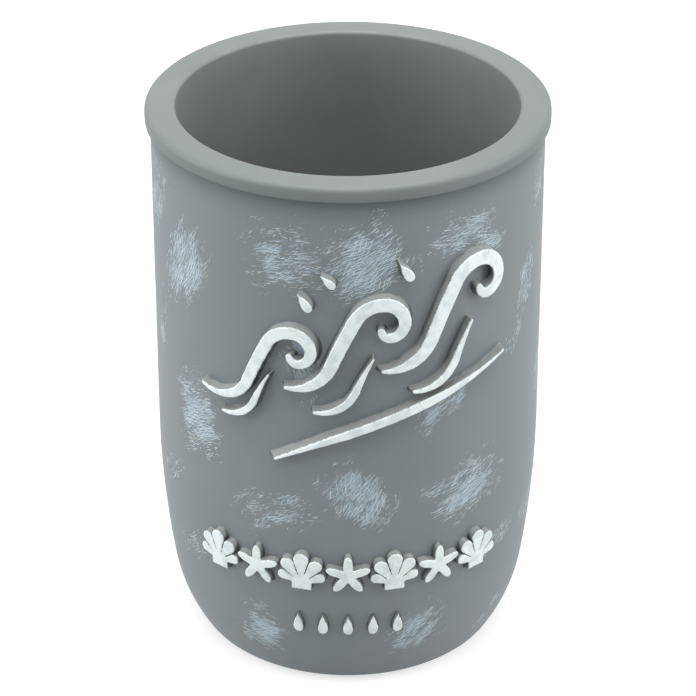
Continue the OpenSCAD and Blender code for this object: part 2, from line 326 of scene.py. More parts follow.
class Nodes:
    """A node tree. Its methods add nodes and return what comes out of them."""

    def __init__(self, tree: bpy.types.NodeTree) -> None:
        """Empties the tree."""
        self.nodes, self.links = tree.nodes, tree.links
        self.nodes.clear()

    def feed(self, socket: Socket, value: Union[Feed, Colour]) -> None:
        """Links a socket to another one, or sets it.

        Args:
            socket: The socket.
            value: What feeds it.
        """
        if isinstance(value, bpy.types.NodeSocket):
            self.links.new(value, socket)
        elif isinstance(value, tuple) and len(socket.default_value) == 4:
            socket.default_value = (*value, 1.0)
        else:
            socket.default_value = value

    def node(self, kind: str, inputs: dict, out: Union[str, int] = 0, **settings: str) -> Socket:
        """Adds a node.

        Args:
            kind: Its type.
            inputs: What feeds its inputs, by name or number.
            out: Which of its outputs is wanted.
            settings: Its other settings.
        Returns:
            That output.
        """
        node = self.nodes.new(kind)
        for key, value in settings.items():
            setattr(node, key, value)
        for key, value in inputs.items():
            self.feed(node.inputs[key], value)
        return node.outputs[out]

    def calculated(self, operation: str, *values: Feed) -> Socket:
        """What a calculation gives, by the name of its operation."""
        return self.node("ShaderNodeMath", dict(enumerate(values)), operation=operation)

    def times(self, a: Feed, b: Feed) -> Socket:
        """Two values multiplied."""
        return self.calculated("MULTIPLY", a, b)

    def larger(self, a: Feed, b: Feed) -> Socket:
        """The larger of two values."""
        return self.calculated("MAXIMUM", a, b)

    def sum_of(self, values: Sequence[Feed], weights: Sequence[float]) -> Feed:
        """Adds up values, each times its weight, and the last weight by itself.

        Args:
            values: The values.
            weights: Their weights, and what is added to their sum.
        Returns:
            The sum.
        """
        total: Feed = weights[-1]
        for value, weight in zip(values, weights):
            total = self.calculated("MULTIPLY_ADD", value, weight, total)
        return total

    def eased(self, value: Feed, step: Ease) -> Socket:
        """Goes through a soft step as a value goes from its low to its high."""
        inputs = {"Value": value, "From Min": step.low, "From Max": step.high, "To Max": step.top}
        return self.node("ShaderNodeMapRange", inputs, interpolation_type="SMOOTHSTEP")

    def mixed(self, share: Feed, a: Paint, b: Paint) -> Socket:
        """A colour between two colours."""
        return self.node("ShaderNodeMix", {0: share, 6: a, 7: b}, 2, data_type="RGBA")

    def seen(self) -> Socket:
        """1 for a ray from the camera, straight or by way of a glossy or clear surface, and 0 for light.

        Returns:
            That number.
        """
        path = self.nodes.new("ShaderNodeLightPath").outputs
        seen = self.larger(path["Is Camera Ray"], path["Is Glossy Ray"])
        return self.larger(seen, path["Is Transmission Ray"])


class Sheet(Nodes):
    """The nodes of a material."""

    def __init__(self, name: str) -> None:
        """Makes the material, with its shader on its output.

        Args:
            name: The material's name.
        """
        self.material = bpy.data.materials.new(name)
        self.material.use_nodes = True
        super().__init__(self.material.node_tree)
        self.shader = self.nodes.new("ShaderNodeBsdfPrincipled")
        self.surface = self.nodes.new("ShaderNodeOutputMaterial").inputs["Surface"]
        self.links.new(self.shader.outputs["BSDF"], self.surface)

    def shade(self, inputs: dict[str, Union[Feed, Colour]]) -> None:
        """Feeds the shader's inputs, by their names."""
        for key, value in inputs.items():
            self.feed(self.shader.inputs[key], value)

    def bumped(self, height: Feed, depth: float, strength: float) -> None:
        """Gives the shader a bump of a real depth."""
        inputs = {"Height": height, "Distance": depth, "Strength": strength}
        self.shade({"Normal": self.node("ShaderNodeBump", inputs)})

    def carried(self, key: str, out: str = "Fac") -> Socket:
        """What the mesh carries under a name."""
        return self.node("ShaderNodeAttribute", {}, out, attribute_name=key)

    def place(self) -> Socket:
        """The place on the object, in metres."""
        return self.node("ShaderNodeTexCoord", {}, "Object")

    def noise(self, place: Socket, grain: Grain, out: str = "Fac") -> Socket:
        """Noise of about 0.5, from a place."""
        inputs = {"Vector": place, "Scale": grain.scale, "Detail": grain.detail, "Roughness": grain.rough}
        return self.node("ShaderNodeTexNoise", inputs, out)

    def drawn_out(self, place: Socket, slope: float, pitches: Sequence[float], seed: float = 0.0) -> Socket:
        """A place turned by a slope in degrees and counted in pitches along and across, with its z shifted.

        Args:
            place: The place.
            slope: The slope.
            pitches: How long a step along and a step across are. Noise is drawn out the longer way.
            seed: The shift of z.
        Returns:
            The new place.
        """
        inputs = {
            "Vector": place,
            "Location": (0.0, 0.0, seed),
            "Rotation": (0.0, 0.0, math.radians(slope)),
            "Scale": (*pitches, 1.0),
        }
        return self.node("ShaderNodeMapping", inputs, vector_type="TEXTURE")

    def parts(self, place: Socket) -> Sequence[Socket]:
        """The three coordinates of a place."""
        return self.node("ShaderNodeSeparateXYZ", {0: place}).node.outputs[:]

    def joined(self, *parts: Feed) -> Socket:
        """A place from its three coordinates."""
        return self.node("ShaderNodeCombineXYZ", dict(enumerate(parts)))

    def shaken(self, place: Socket, pitch: float, by: float) -> Socket:
        """A place moved along and across by noise of a pitch: place + by times noise."""
        inputs = {0: self.noise(place, Grain(1.0 / pitch, 0.0), "Color"), 1: (by, by, 0.0), 2: place}
        return self.node("ShaderNodeVectorMath", inputs, operation="MULTIPLY_ADD")

    def random(self, place: Socket) -> Socket:
        """A number between 0 and 1 that differs from place to place."""
        return self.node("ShaderNodeTexWhiteNoise", {"Vector": place}, "Value")


@dataclass(frozen=True)
class Bristles:
    """A set of bristles: their slope to the mark, and their lines' spacing, width and length, in mm.

    A line keeps a share of the spacing away from the limits of its row. The row shift parts the rows' noise.
    """

    slope: float
    spacing: float
    width: float
    length: float
    weight: float = 1.0
    margin_share: float = 0.2
    row_shift: float = 7.3
    grain: Grain = Grain(1.0, 1.0)

    def lines(self, sheet: Sheet, place: Socket, seed: float) -> tuple[Socket, Socket]:
        """Lines along the mark, one in each row.

        A place's row is the whole part of across / spacing, and the row's line lies at a random share of it.
        Noise along the row, other in each row, breaks the line up.

        Args:
            sheet: The node sheet.
            place: The place within the mark, in millimetres.
            seed: Shifts the pattern, so that two sets differ.
        Returns:
            How near the line is, 1 on its middle and 0 on its edge, and the noise along it.
        """
        along, across, mark = sheet.parts(sheet.drawn_out(place, self.slope, (1.0, 1.0), seed))
        rows = sheet.times(across, 1.0 / self.spacing)
        row = sheet.calculated("FLOOR", rows)
        at = sheet.calculated("FRACT", rows)
        share = sheet.random(sheet.joined(row, seed, mark))
        free_share = 1.0 - 2.0 * self.margin_share
        offset = sheet.sum_of((at, share), (1.0, -free_share, -self.margin_share))
        near = sheet.sum_of([sheet.calculated("ABSOLUTE", offset)], (-2.0 * self.spacing / self.width, 1.0))
        lengths, shift = sheet.times(along, 1.0 / self.length), sheet.times(row, self.row_shift)
        return near, sheet.noise(sheet.joined(lengths, shift, mark), self.grain)


@dataclass(frozen=True)
class BrushedResin:
    """Grey cast resin, worn pale on its edges, with painted shade under its rim, and dry-brushed where its
    mesh carries brush marks.

    The weights of a sum belong to what the methods add up, and their last one is added by itself.
    """

    layers: int
    grey: Colour = (0.179, 0.212, 0.222)
    grey_light: Colour = (0.199, 0.228, 0.241)
    bare: Colour = (0.192, 0.216, 0.214)
    bare_light: Colour = (0.213, 0.233, 0.233)
    # Colour of the painted shade in the rim's corner and on the rim's band
    painted_shade: Colour = (0.074, 0.102, 0.105)
    worn: Colour = (0.32, 0.345, 0.35)
    haze: Colour = (0.29, 0.385, 0.465)
    bright: Colour = (0.72, 0.83, 0.88)
    patch: Grain = Grain(42.0, 3.0)
    patch_step: Ease = Ease(0.35, 0.65)
    speck: Grain = Grain(2600.0, 1.0)
    rub: Grain = Grain(260.0, 4.0, 0.6)
    rub_step: Ease = Ease(0.35, 0.65, 0.3)
    cloud: Grain = Grain(1.0, 3.0, 0.6)
    cloud_slope: float = 8.0
    cloud_pitches: Sequence[float] = (5.0, 2.6)
    cloud_seed: float = 3.0
    film: Grain = Grain(1.0, 2.0, 0.65)
    film_pitches: Sequence[float] = (6.0, 0.36)
    haze_weights: Sequence[float] = (1.7, 3.2, 3.4, -4.25)
    haze_step: Ease = Ease(0.0, 0.85, 0.72)
    bristles: Sequence[Bristles] = (
        Bristles(-6.0, 0.46, 0.115, 1.9, 0.92),
        Bristles(8.0, 0.6, 0.13, 1.2, 0.92),
        Bristles(34.0, 0.85, 0.14, 0.8, 0.8),
    )
    bristle_seed: float = 11.0
    shake: float = 2.2
    shake_pitch: float = 5.0
    cover_weights: Sequence[float] = (1.15, 2.2, 2.9, -3.2)
    cover_to: float = 0.42
    line_step: Ease = Ease(0.0, 0.7)
    shown_step: Ease = Ease(0.0, 0.1)
    roughness_weights: Sequence[float] = (0.2, 0.1, 0.47)
    bump_weights: Sequence[float] = (1.0, 0.35, 0.8, 0.0)
    bump_depth: float = 0.06 * MM
    bump_strength: float = 0.6

    def brush(self, sheet: Sheet, layer: int) -> tuple[Socket, Socket]:
        """Haze and bright bristle lines of one layer of marks.

        A mark's own place is (along, across, seed) in millimetres. The haze is noise drawn out along the
        mark. The bristle lines are broken up by noise, and the mark's strength sets how much is covered.

        Args:
            sheet: The node sheet.
            layer: Which layer's marks are read.
        Returns:
            How much haze and how much bright paint covers the resin.
        """
        place = sheet.carried(f"brush_{layer}", "Vector")
        strength = sheet.carried(f"strength_{layer}")
        clouded = sheet.drawn_out(place, self.cloud_slope, self.cloud_pitches, self.cloud_seed)
        cloud = sheet.noise(clouded, self.cloud)
        film = sheet.noise(sheet.drawn_out(place, 0.0, self.film_pitches), self.film)
        haze = sheet.eased(sheet.sum_of((strength, cloud, film), self.haze_weights), self.haze_step)
        shaken = sheet.shaken(place, self.shake_pitch, self.shake)
        bright: Feed = 0.0
        for number, bristles in enumerate(self.bristles):
            near, broken = bristles.lines(sheet, shaken, self.bristle_seed + number)
            covered = sheet.sum_of((strength, cloud, broken), self.cover_weights)
            covered = sheet.eased(covered, Ease(0.0, self.cover_to, bristles.weight))
            bright = sheet.larger(bright, sheet.times(sheet.eased(near, self.line_step), covered))
        shown = sheet.eased(strength, self.shown_step)
        return sheet.times(shown, haze), sheet.times(shown, bright)

    def material(self) -> bpy.types.Material:
        """Builds the material: patches, wear and painted shade in the rim's corner and on its band, then the
        brushed paint.

        Returns:
            The material.
        """
        sheet = Sheet("brushed_resin")
        place = sheet.place()
        patch = sheet.noise(place, self.patch)
        bare = sheet.carried("bare")
        dark = sheet.mixed(bare, self.grey, self.bare)
        light = sheet.mixed(bare, self.grey_light, self.bare_light)
        colour = sheet.mixed(sheet.eased(patch, self.patch_step), dark, light)
        rubbed = sheet.eased(sheet.noise(place, self.rub), self.rub_step)
        colour = sheet.mixed(sheet.times(sheet.carried("wear"), rubbed), colour, self.worn)
        # Painted shade in the rim's corner and on the band of the rim above it
        colour = sheet.mixed(sheet.carried("painted_shade"), colour, self.painted_shade)
        haze: Feed = 0.0
        bright: Feed = 0.0
        for layer in range(self.layers):
            more_haze, more_bright = self.brush(sheet, layer)
            haze = sheet.larger(haze, more_haze)
            bright = sheet.larger(bright, more_bright)
        colour = sheet.mixed(bright, sheet.mixed(haze, colour, self.haze), self.bright)
        roughness = sheet.sum_of((bright, patch), self.roughness_weights)
        sheet.shade({"Base Color": colour, "Roughness": roughness})
        height = sheet.sum_of((bright, sheet.noise(place, self.speck), patch), self.bump_weights)
        sheet.bumped(height, self.bump_depth, self.bump_strength)
        return sheet.material


@dataclass(frozen=True)
class PaintedRelief:
    """White paint on the tops of the raised pieces. Their sides are bare, with painted light where they face
    up and painted shade low down and where they face sideways or down.
    """

    white: Colour = (0.87, 0.95, 0.95)
    white_dull: Colour = (0.73, 0.81, 0.815)
    side: Colour = (0.155, 0.178, 0.175)
    # Colours of the bare sides: a paler one painted where they face up, as painted light from above, and a
    # dark one painted low down and where they face sideways or down, as painted shade
    side_lit: Colour = (0.293, 0.315, 0.303)
    painted_shade: Colour = (0.06, 0.07, 0.068)
    pit: Colour = (0.42, 0.44, 0.43)
    ragged: Grain = Grain(1500.0, 3.0, 0.6)
    cloud: Grain = Grain(420.0, 3.0)
    dull_step: Ease = Ease(0.42, 0.64)
    paint_weights: Sequence[float] = (1.0, 0.5, -0.25)
    paint_step: Ease = Ease(0.80, 0.90)
    chip_weights: Sequence[float] = (2.0, -0.9, 0.6, 0.0)
    chip_step: Ease = Ease(1.36, 1.46, 0.6)
    # Weights and step of the painted light on up-facing sides, then of the painted shade on the sides
    side_lit_weights: Sequence[float] = (1.0, 0.8, -0.4)
    side_lit_step: Ease = Ease(0.0, 0.9)
    side_shade_weights: Sequence[float] = (-0.8, -0.5, 0.5, 0.32)
    side_shade_step: Ease = Ease(0.0, 0.3, 0.85)
    roughness_weights: Sequence[float] = (0.15, 0.53)
    bump_weights: Sequence[float] = (1.0, 1.0, -0.8, 0.0)
    bump_depth: float = 0.05 * MM
    bump_strength: float = 0.7

    def material(self) -> bpy.types.Material:
        """Builds the material: paint on what is nearly at full height, with a ragged limit and a few chips.
        The bare sides are painted lighter where they face up and darker low down and where they face sideways
        or down, as painted light and shade.

        Returns:
            The material.
        """
        sheet = Sheet("painted_relief")
        place = sheet.place()
        lift, inset, upward = [sheet.carried(key) for key in ("lift", "inset", "upward")]
        ragged = sheet.noise(place, self.ragged)
        cloud = sheet.noise(place, self.cloud)
        painted = sheet.eased(sheet.sum_of((lift, ragged), self.paint_weights), self.paint_step)
        chips = sheet.eased(sheet.sum_of((ragged, inset, cloud), self.chip_weights), self.chip_step)
        top = sheet.mixed(sheet.eased(cloud, self.dull_step), self.white, self.white_dull)
        top = sheet.mixed(chips, top, self.pit)
        # Painted light on sides that face up, broken up by random cloud
        lit_share = sheet.eased(sheet.sum_of((upward, cloud), self.side_lit_weights), self.side_lit_step)
        # Painted shade low on the sides and on those that face sideways or down
        deep = sheet.eased(sheet.sum_of((lift, upward, cloud), self.side_shade_weights), self.side_shade_step)
        side = sheet.mixed(deep, sheet.mixed(lit_share, self.side, self.side_lit), self.painted_shade)
        roughness = sheet.sum_of([cloud], self.roughness_weights)
        sheet.shade({"Base Color": sheet.mixed(painted, side, top), "Roughness": roughness})
        height = sheet.sum_of((ragged, cloud, chips), self.bump_weights)
        sheet.bumped(height, self.bump_depth, self.bump_strength)
        return sheet.material


@dataclass(frozen=True)
class PadRubber:
    """Milky clear soft rubber, with faint clouds and a fine grain."""

    milky: Colour = (0.58, 0.60, 0.60)
    deep: Colour = (0.50, 0.52, 0.525)
    cloud: Grain = Grain(500.0, 2.0)
    cloud_step: Ease = Ease(0.35, 0.65)
    grain: Grain = Grain(5200.0, 1.0)
    roughness_weights: Sequence[float] = (0.2, 0.35)
    clearness: float = 0.25
    clear_depth: float = 1.5 * MM
    bump_depth: float = 0.02 * MM
    bump_strength: float = 0.5

    def material(self) -> bpy.types.Material:
        """Builds the material.

        Returns:
            The material.
        """
        sheet = Sheet("milky_rubber")
        place = sheet.place()
        cloud = sheet.eased(sheet.noise(place, self.cloud), self.cloud_step)
        grain = sheet.noise(place, self.grain)
        sheet.shade({
            "Base Color": sheet.mixed(cloud, self.milky, self.deep),
            "Roughness": sheet.sum_of([grain], self.roughness_weights),
            "Subsurface Weight": self.clearness,
            "Subsurface Scale": self.clear_depth,
        })
        sheet.bumped(grain, self.bump_depth, self.bump_strength)
        return sheet.material


@dataclass(frozen=True)
class Mark:
    """One patch of dry brushing: its middle on the wall, its half sizes along and across, and its slope.

    Turn and slope are in degrees, and the rest but the strength in millimetres.
    """

    turn: float
    height: float
    half_length: float
    half_width: float
    slope: float
    strength: float = 1.0

    def own_place(self, turn: Array, height: Array, belly_r: float) -> tuple[Array, Array]:
        """Millimetres along and across the mark: the offset from its middle, turned by its slope.

        Args:
            turn: Angle round the cup from the front.
            height: Height on the wall.
            belly_r: Radius that turns an angle into a distance.
        Returns:
            Two arrays, along and across.
        """
        x = wrapped(turn - math.radians(self.turn)) * belly_r / MM
        y = height / MM - self.height
        c, s = math.cos(math.radians(self.slope)), math.sin(math.radians(self.slope))
        return x * c + y * s, y * c - x * s

    def reach(self, along: Array, across: Array) -> Array:
        """How far out a place lies: (|along / a|^3 + |across / b|^3)^(1/3), 1 on the mark's limit."""
        a, b = np.abs(along / self.half_length), np.abs(across / self.half_width)
        return (a**3 + b**3) ** (1 / 3)


@dataclass
class DryBrushing:
    """All marks of the dry brush, sorted into layers in which no two marks meet."""

    wall: Wall
    fade_from: float = 0.3
    fade_to: float = 1.32
    mark_seed: float = 17.3
    layer_seed: float = 5.1
    marks: Sequence[Mark] = tuple(Mark(*sizes) for sizes in (
        (5, 95, 8, 8.3, 27), (-17.5, 94.8, 8.4, 7.8, 8, 0.68), (-54.5, 86.5, 9.3, 6.2, 61, 0.95),
        (35.5, 98, 8.5, 4.4, -8, 0.75), (44, 94.5, 4.4, 3.4, 6, 0.7), (-13, 76, 4.5, 3.5, -55, 0.75),
        (-12, 70, 4.5, 2.5, -70, 0.5), (-49.5, 56.5, 6.2, 8.6, 12), (63, 81.5, 6.2, 3.4, 70, 0.85),
        (57, 72, 5, 3, 60, 0.5), (27.5, 63.5, 6.5, 4, 34, 0.8), (3, 46.5, 6, 8.5, 52, 0.92),
        (-30, 43, 5, 3, 30, 0.45), (-20.5, 42, 8.2, 5, 22, 0.55), (36.5, 44.5, 9, 6.4, 18, 0.78),
        (-28.5, 12.6, 5.8, 6.2, -14, 0.85), (21.5, 13.6, 6.5, 5.6, 26, 0.85), (-73, 96, 8.5, 5.5, 66, 0.7),
        (-70, 70, 9, 3.2, 76, 0.55), (-66, 40, 7, 3.2, 48, 0.4), (56, 9, 6, 3.5, 24, 0.5),
        (76, 99, 6, 4, 30, 0.55), (84, 60, 9, 5.5, 52, 0.85), (78, 30, 9, 4, 20, 0.7),
        (104, 91, 10.5, 7, 18), (118, 96, 7, 3.5, 4, 0.6), (112, 50, 8.5, 6.5, 62),
        (108, 18, 8, 4.5, 12, 0.8), (128, 73, 8.5, 4, -28, 0.7), (139, 77, 6, 3, -40, 0.5),
        (146, 98, 9, 4.5, 8, 0.8), (142, 44, 8.5, 7, 36), (153, 38, 7.5, 4, 10, 0.75),
        (158, 14, 9, 5, -14, 0.8), (166, 88, 10, 8, 54), (179, 80, 8, 4.5, 22, 0.8),
        (172, 57, 7, 3, 4, 0.5), (-170, 31, 9.5, 6, 26), (-163, 22, 6, 3, -10, 0.6),
        (-160, 97, 8.5, 4.5, -10, 0.75), (-150, 69, 9.5, 7, 60), (-141, 60, 7.5, 4, 30, 0.7),
        (-139, 13, 8, 5, 18, 0.85), (-132, 93, 10, 7, 24), (-122, 86, 7, 4, 44, 0.7),
        (-122, 45, 9, 5.5, 34, 0.9), (-108, 72, 8, 4, -36, 0.7), (-102, 22, 8.5, 6, 44, 0.9),
        (-94, 53, 8, 4.5, 64, 0.75), (-56, 25, 6, 3, 30, 0.45), (52, 28, 6, 3, 36, 0.45),
    ))

    def layers(self) -> list[list[Mark]]:
        """Sorts the marks: each goes into the first layer in which it stays clear of all others.

        Returns:
            The layers.
        """
        layers: list[list[Mark]] = []
        for mark in self.marks:
            free = [layer for layer in layers if all(self.clear(mark, other) for other in layer)]
            if free:
                free[0].append(mark)
            else:
                layers.append([mark])
        return layers

    def clear(self, a: Mark, b: Mark) -> bool:
        """Whether two marks have both faded out at the place between them that has the same reach in both.

        Args:
            a, b: The marks.
        Returns:
            Whether they have.
        """
        middles = [(math.radians(mark.turn), mark.height * MM, self.wall.belly_r) for mark in (a, b)]
        reach_a, reach_b = a.reach(*a.own_place(*middles[1])), b.reach(*b.own_place(*middles[0]))
        return reach_a * reach_b / (reach_a + reach_b) > self.fade_to

    def carried(self, turn: Array, height: Array, wanted: Array) -> dict[str, Array]:
        """What the cup's mesh carries for the brushing.

        Each point belongs to the nearest mark of a layer, the one with the least reach, and has that mark's
        strength, which fades as the reach goes from fade_from to fade_to.

        Args:
            turn: Angle of each point round the cup from the front.
            height: Height of each point.
            wanted: 1 where a point may be brushed, and 0 elsewhere.
        Returns:
            Two arrays for each layer: the place within the mark, and the strength.
        """
        values: dict[str, Array] = {}
        for number, layer in enumerate(self.layers()):
            places = [mark.own_place(turn, height, self.wall.belly_r) for mark in layer]
            reach = np.stack([mark.reach(*place) for mark, place in zip(layer, places)])
            nearest = reach.argmin(axis=0)
            points = np.arange(len(turn))
            along, across = np.array(places)[nearest, :, points].T
            strength = np.array([mark.strength for mark in layer])[nearest]
            faded = smooth((self.fade_to - reach[nearest, points]) / (self.fade_to - self.fade_from))
            seed = self.mark_seed * nearest + self.layer_seed * number
            values[f"brush_{number}"] = np.stack([along, across, seed], axis=1)
            values[f"strength_{number}"] = strength * faded * wanted
        return values


@dataclass
class CastCup:
    """The cup itself: wall, rim, inside, floor and underside, in one closed skin.

    Whole numbers whose names end in rows say how many rows of points a stretch of the section has. The
    pocket_rows lie that many steps in from a pocket's edge. The bend_rows lie that many halves of a pocket
    from the middle of the pads, the first towards the axis and the second away from it.
    """

    wall: Wall
    brushing: DryBrushing
    wall_t: float = 4.7 * MM
    inside_taper: float = 0.9 * MM
    floor_t: float = 6.2 * MM
    floor_fillet_r: float = 9.0 * MM
    rim_top_edge_r: float = 1.1 * MM
    rim_low_edge_r: float = 0.4 * MM
    rim_root_r: float = 0.25 * MM
    mouth_edge_r: float = 0.8 * MM
    hollow_depth: float = 0.8 * MM
    hollow_edge_r: float = 0.2 * MM
    hollow_margin: float = 2.0 * MM
    pad_r: float = 4.0 * MM
    pad_inset: float = 3.2 * MM
    pocket_clearance: float = 0.2 * MM
    pocket_depth: float = 0.6 * MM
    pad_count: int = 4
    around: int = 480
    hollow_rows: int = 5
    toe_rows: int = 6
    heel_rows: int = 12
    side_rows: int = 24
    cone_rows: int = 52
    root_rows: int = 4
    low_edge_rows: int = 6
    top_edge_rows: int = 8
    rim_rows: int = 4
    mouth_rows: int = 6
    inside_rows: int = 24
    fillet_rows: int = 15
    floor_rows: int = 6
    pocket_steps: int = 13
    pocket_rows: Sequence[int] = (0, 1, 3, 6, 9)
    bend_rows: Sequence[float] = (1.4, 1.3)
    bend_reach: float = 1.65
    ceiling_share: float = 0.995
    unevenness: float = 0.035 * MM
    uneven_waves: float = 5.0
    uneven_pitch: float = 6.0 * MM
    uneven_phase: float = 0.4
    uneven_from: float = 5.0 * MM
    brushed_from: float = 2.0 * MM
    wear_width: float = 0.3 * MM
    high_wear_share: float = 1.0 / 3.0
    # Painted shade under the rim: a wide part, the rest as a narrow dark line in the corner, and the rim's
    # band painted darker towards its bottom
    painted_shade_depth: float = 3.0 * MM
    painted_shade_wide_share: float = 0.74
    crease_depth: float = 0.45 * MM
    band_shade_share: float = 0.41
    band_shade_fall: float = 4.5 * MM

    def __post_init__(self) -> None:
        """Works out the places under the base and the slope of the inside."""
        self.pad_ring_r = self.wall.base_r - self.pad_inset - self.pad_r
        self.pocket_r = self.pad_r + self.pocket_clearance
        self.pocket_half = self.pocket_steps * TURN / self.around * self.pad_ring_r
        self.hollow_r = self.pad_ring_r - self.pocket_r - self.hollow_margin
        self.floor_h = self.wall.stand_h + self.floor_t
        self.mouth_r = self.wall.neck_r - self.wall_t
        drop = self.wall.cup_h - self.mouth_edge_r - self.floor_h - self.floor_fillet_r
        self.inside_angle = math.atan(self.inside_taper / drop)
        fillet_x = self.mouth_r - self.inside_taper - self.floor_fillet_r / math.cos(self.inside_angle)
        self.fillet_centre = np.array([fillet_x, self.floor_h + self.floor_fillet_r])

    @staticmethod
    def straight(start: Sequence[float], end: Sequence[float], count: int) -> Array:
        """Evenly spaced points from start up to, but not with, end."""
        return np.linspace(start, end, count, endpoint=False)

    def underside(self) -> Array:
        """Section from the axis over the hollow and the base, with rows through the middle of the pockets.

        Returns:
            Its points.
        """
        stand, r, e = self.wall.stand_h, self.hollow_r, self.hollow_edge_r
        top, mid = stand + self.hollow_depth, CORNER_SHARE * e
        hollow = self.straight((0.0, top), (r - e, top), self.hollow_rows)
        edge = [(r - e, top), (r - mid, top - mid), (r, top - e), (r, stand + e), (r + mid, stand + mid)]
        inner = 1.0 - np.array(self.pocket_rows) / self.pocket_steps
        before, behind = self.bend_rows
        across = np.concatenate([[-before], -inner, [0.0], inner[::-1], [behind, self.bend_reach]])
        base_r = np.append(r + e, self.pad_ring_r + across * self.pocket_half)
        return np.concatenate([hollow, edge, np.stack([base_r, np.full(len(base_r), stand)], axis=1)])

    def outside(self) -> Array:
        """Section of the wall, from the toe up to under the rim.

        Returns:
            Its points.
        """
        wall, root = self.wall, self.rim_root_r
        start, end = wall.heel_start_angle, wall.heel_end_angle
        turn = np.linspace(0.0, QUARTER, self.root_rows)
        fillet = root * np.stack([1.0 - np.cos(turn), np.sin(turn) - 1.0], axis=1)
        return np.concatenate([
            wall.arc(wall.toe_centre, wall.toe_r, (QUARTER, end), self.toe_rows),
            wall.arc(wall.heel_centre, wall.heel_r, (end, start), self.heel_rows),
            wall.arc(wall.side_centre, wall.side_r, (start, 0.0), self.side_rows),
            self.straight((wall.belly_r, wall.belly_h), (wall.neck_r, wall.under_h - root), self.cone_rows),
            fillet + (wall.neck_r, wall.under_h),
        ])

    def rim(self) -> Array:
        """Section of the rim, from its underside over its side and its top to the mouth.

        Returns:
            Its points.
        """
        wall, low, high, mouth = self.wall, self.rim_low_edge_r, self.rim_top_edge_r, self.mouth_edge_r
        low_centre = np.array([wall.rim_r - low, wall.under_h + low])
        high_centre = np.array([wall.rim_r - high, wall.cup_h - high])
        mouth_centre = np.array([self.mouth_r + mouth, wall.cup_h - mouth])
        flat = (wall.rim_r - high, wall.cup_h), (self.mouth_r + mouth, wall.cup_h)
        return np.concatenate([
            wall.arc(low_centre, low, (QUARTER, 0.0), self.low_edge_rows, whole=True),
            wall.arc(high_centre, high, (0.0, -QUARTER), self.top_edge_rows, whole=True),
            self.straight(*flat, self.rim_rows)[1:],
            wall.arc(mouth_centre, mouth, (-QUARTER, -2.0 * QUARTER), self.mouth_rows),
        ])

    def inside(self) -> Array:
        """Section of the inside, from the mouth down to the middle of the floor.

        Returns:
            Its points.
        """
        middle = (0.0, self.floor_h)
        ends = self.inside_angle, QUARTER
        fillet = self.wall.arc(self.fillet_centre, self.floor_fillet_r, ends, self.fillet_rows, whole=True)
        mouth = (self.mouth_r, self.wall.cup_h - self.mouth_edge_r)
        wall = self.straight(mouth, fillet[0], self.inside_rows)
        floor = self.straight(fillet[-1], middle, self.floor_rows)[1:]
        return np.concatenate([wall, fillet, floor, [middle]])

    def with_pockets(self, points: Array) -> Array:
        """Bends the flat base round the pockets and lifts what lies in them.

        Near a pad, (a, b) is the way from its middle, out and round, over the pocket's half size, and
        m is the larger of |a| and |b|. The square m = 1 becomes the pocket's circle, (a, b) m R / |(a, b)|,
        squares inside it become smaller circles on the pocket's ceiling, and the bending fades out by
        m = bend_reach.

        Args:
            points: The points of the cup.
        Returns:
            The points, with those of the base moved.
        """
        flat = np.abs(points[:, 2] - self.wall.stand_h) < TINY
        r = np.hypot(points[:, 0], points[:, 1])
        turn = np.arctan2(points[:, 0], -points[:, 1])
        step = TURN / self.pad_count
        pad_turn = (np.floor(turn / step) + 0.5) * step
        off = turn - pad_turn
        way = np.stack([r - self.pad_ring_r, off * self.pad_ring_r], axis=1) / self.pocket_half
        m = np.abs(way).max(axis=1)
        inner = m < 1.0 - 0.5 / self.pocket_steps
        ceiling = m * self.pocket_steps / (self.pocket_steps - 1) * self.ceiling_share
        scale = np.where(inner, ceiling, m) * self.pocket_r / np.maximum(np.linalg.norm(way, axis=1), TINY)
        unmoved = np.stack([r * np.cos(off) - self.pad_ring_r, r * np.sin(off)], axis=1)
        share = smooth((m - 1.0) / (self.bend_reach - 1.0))[:, None]
        offset = way * scale[:, None] * (1.0 - share) + unmoved * share
        out = np.stack([np.sin(pad_turn), -np.cos(pad_turn)], axis=1)
        sideways = np.stack([np.cos(pad_turn), np.sin(pad_turn)], axis=1)
        bent = (self.pad_ring_r + offset[:, :1]) * out + offset[:, 1:] * sideways
        near = flat & (m < self.bend_reach)
        moved = points.copy()
        moved[near, :2] = bent[near]
        moved[near & inner, 2] += self.pocket_depth
        return moved

    def wear(self, section: Array) -> Array:
        """How worn each point of the section is: exp(-(d / width)^2) by its distance to an edge of the rim.

        The edge of the mouth is worn most, and the high outer edge has a share of that.

        Args:
            section: The section's points.
        Returns:
            The wear at each.
        """
        high_in, mouth_in = CORNER_SHARE * self.rim_top_edge_r, CORNER_SHARE * self.mouth_edge_r
        high = self.wall.rim_r - high_in, self.wall.cup_h - high_in
        mouth = self.mouth_r + mouth_in, self.wall.cup_h - mouth_in
        far = [np.linalg.norm(section - edge, axis=1) / self.wear_width for edge in (high, mouth)]
        worn = [np.exp(-(distance**2)) for distance in far]
        return np.maximum(self.high_wear_share * worn[0], worn[1])

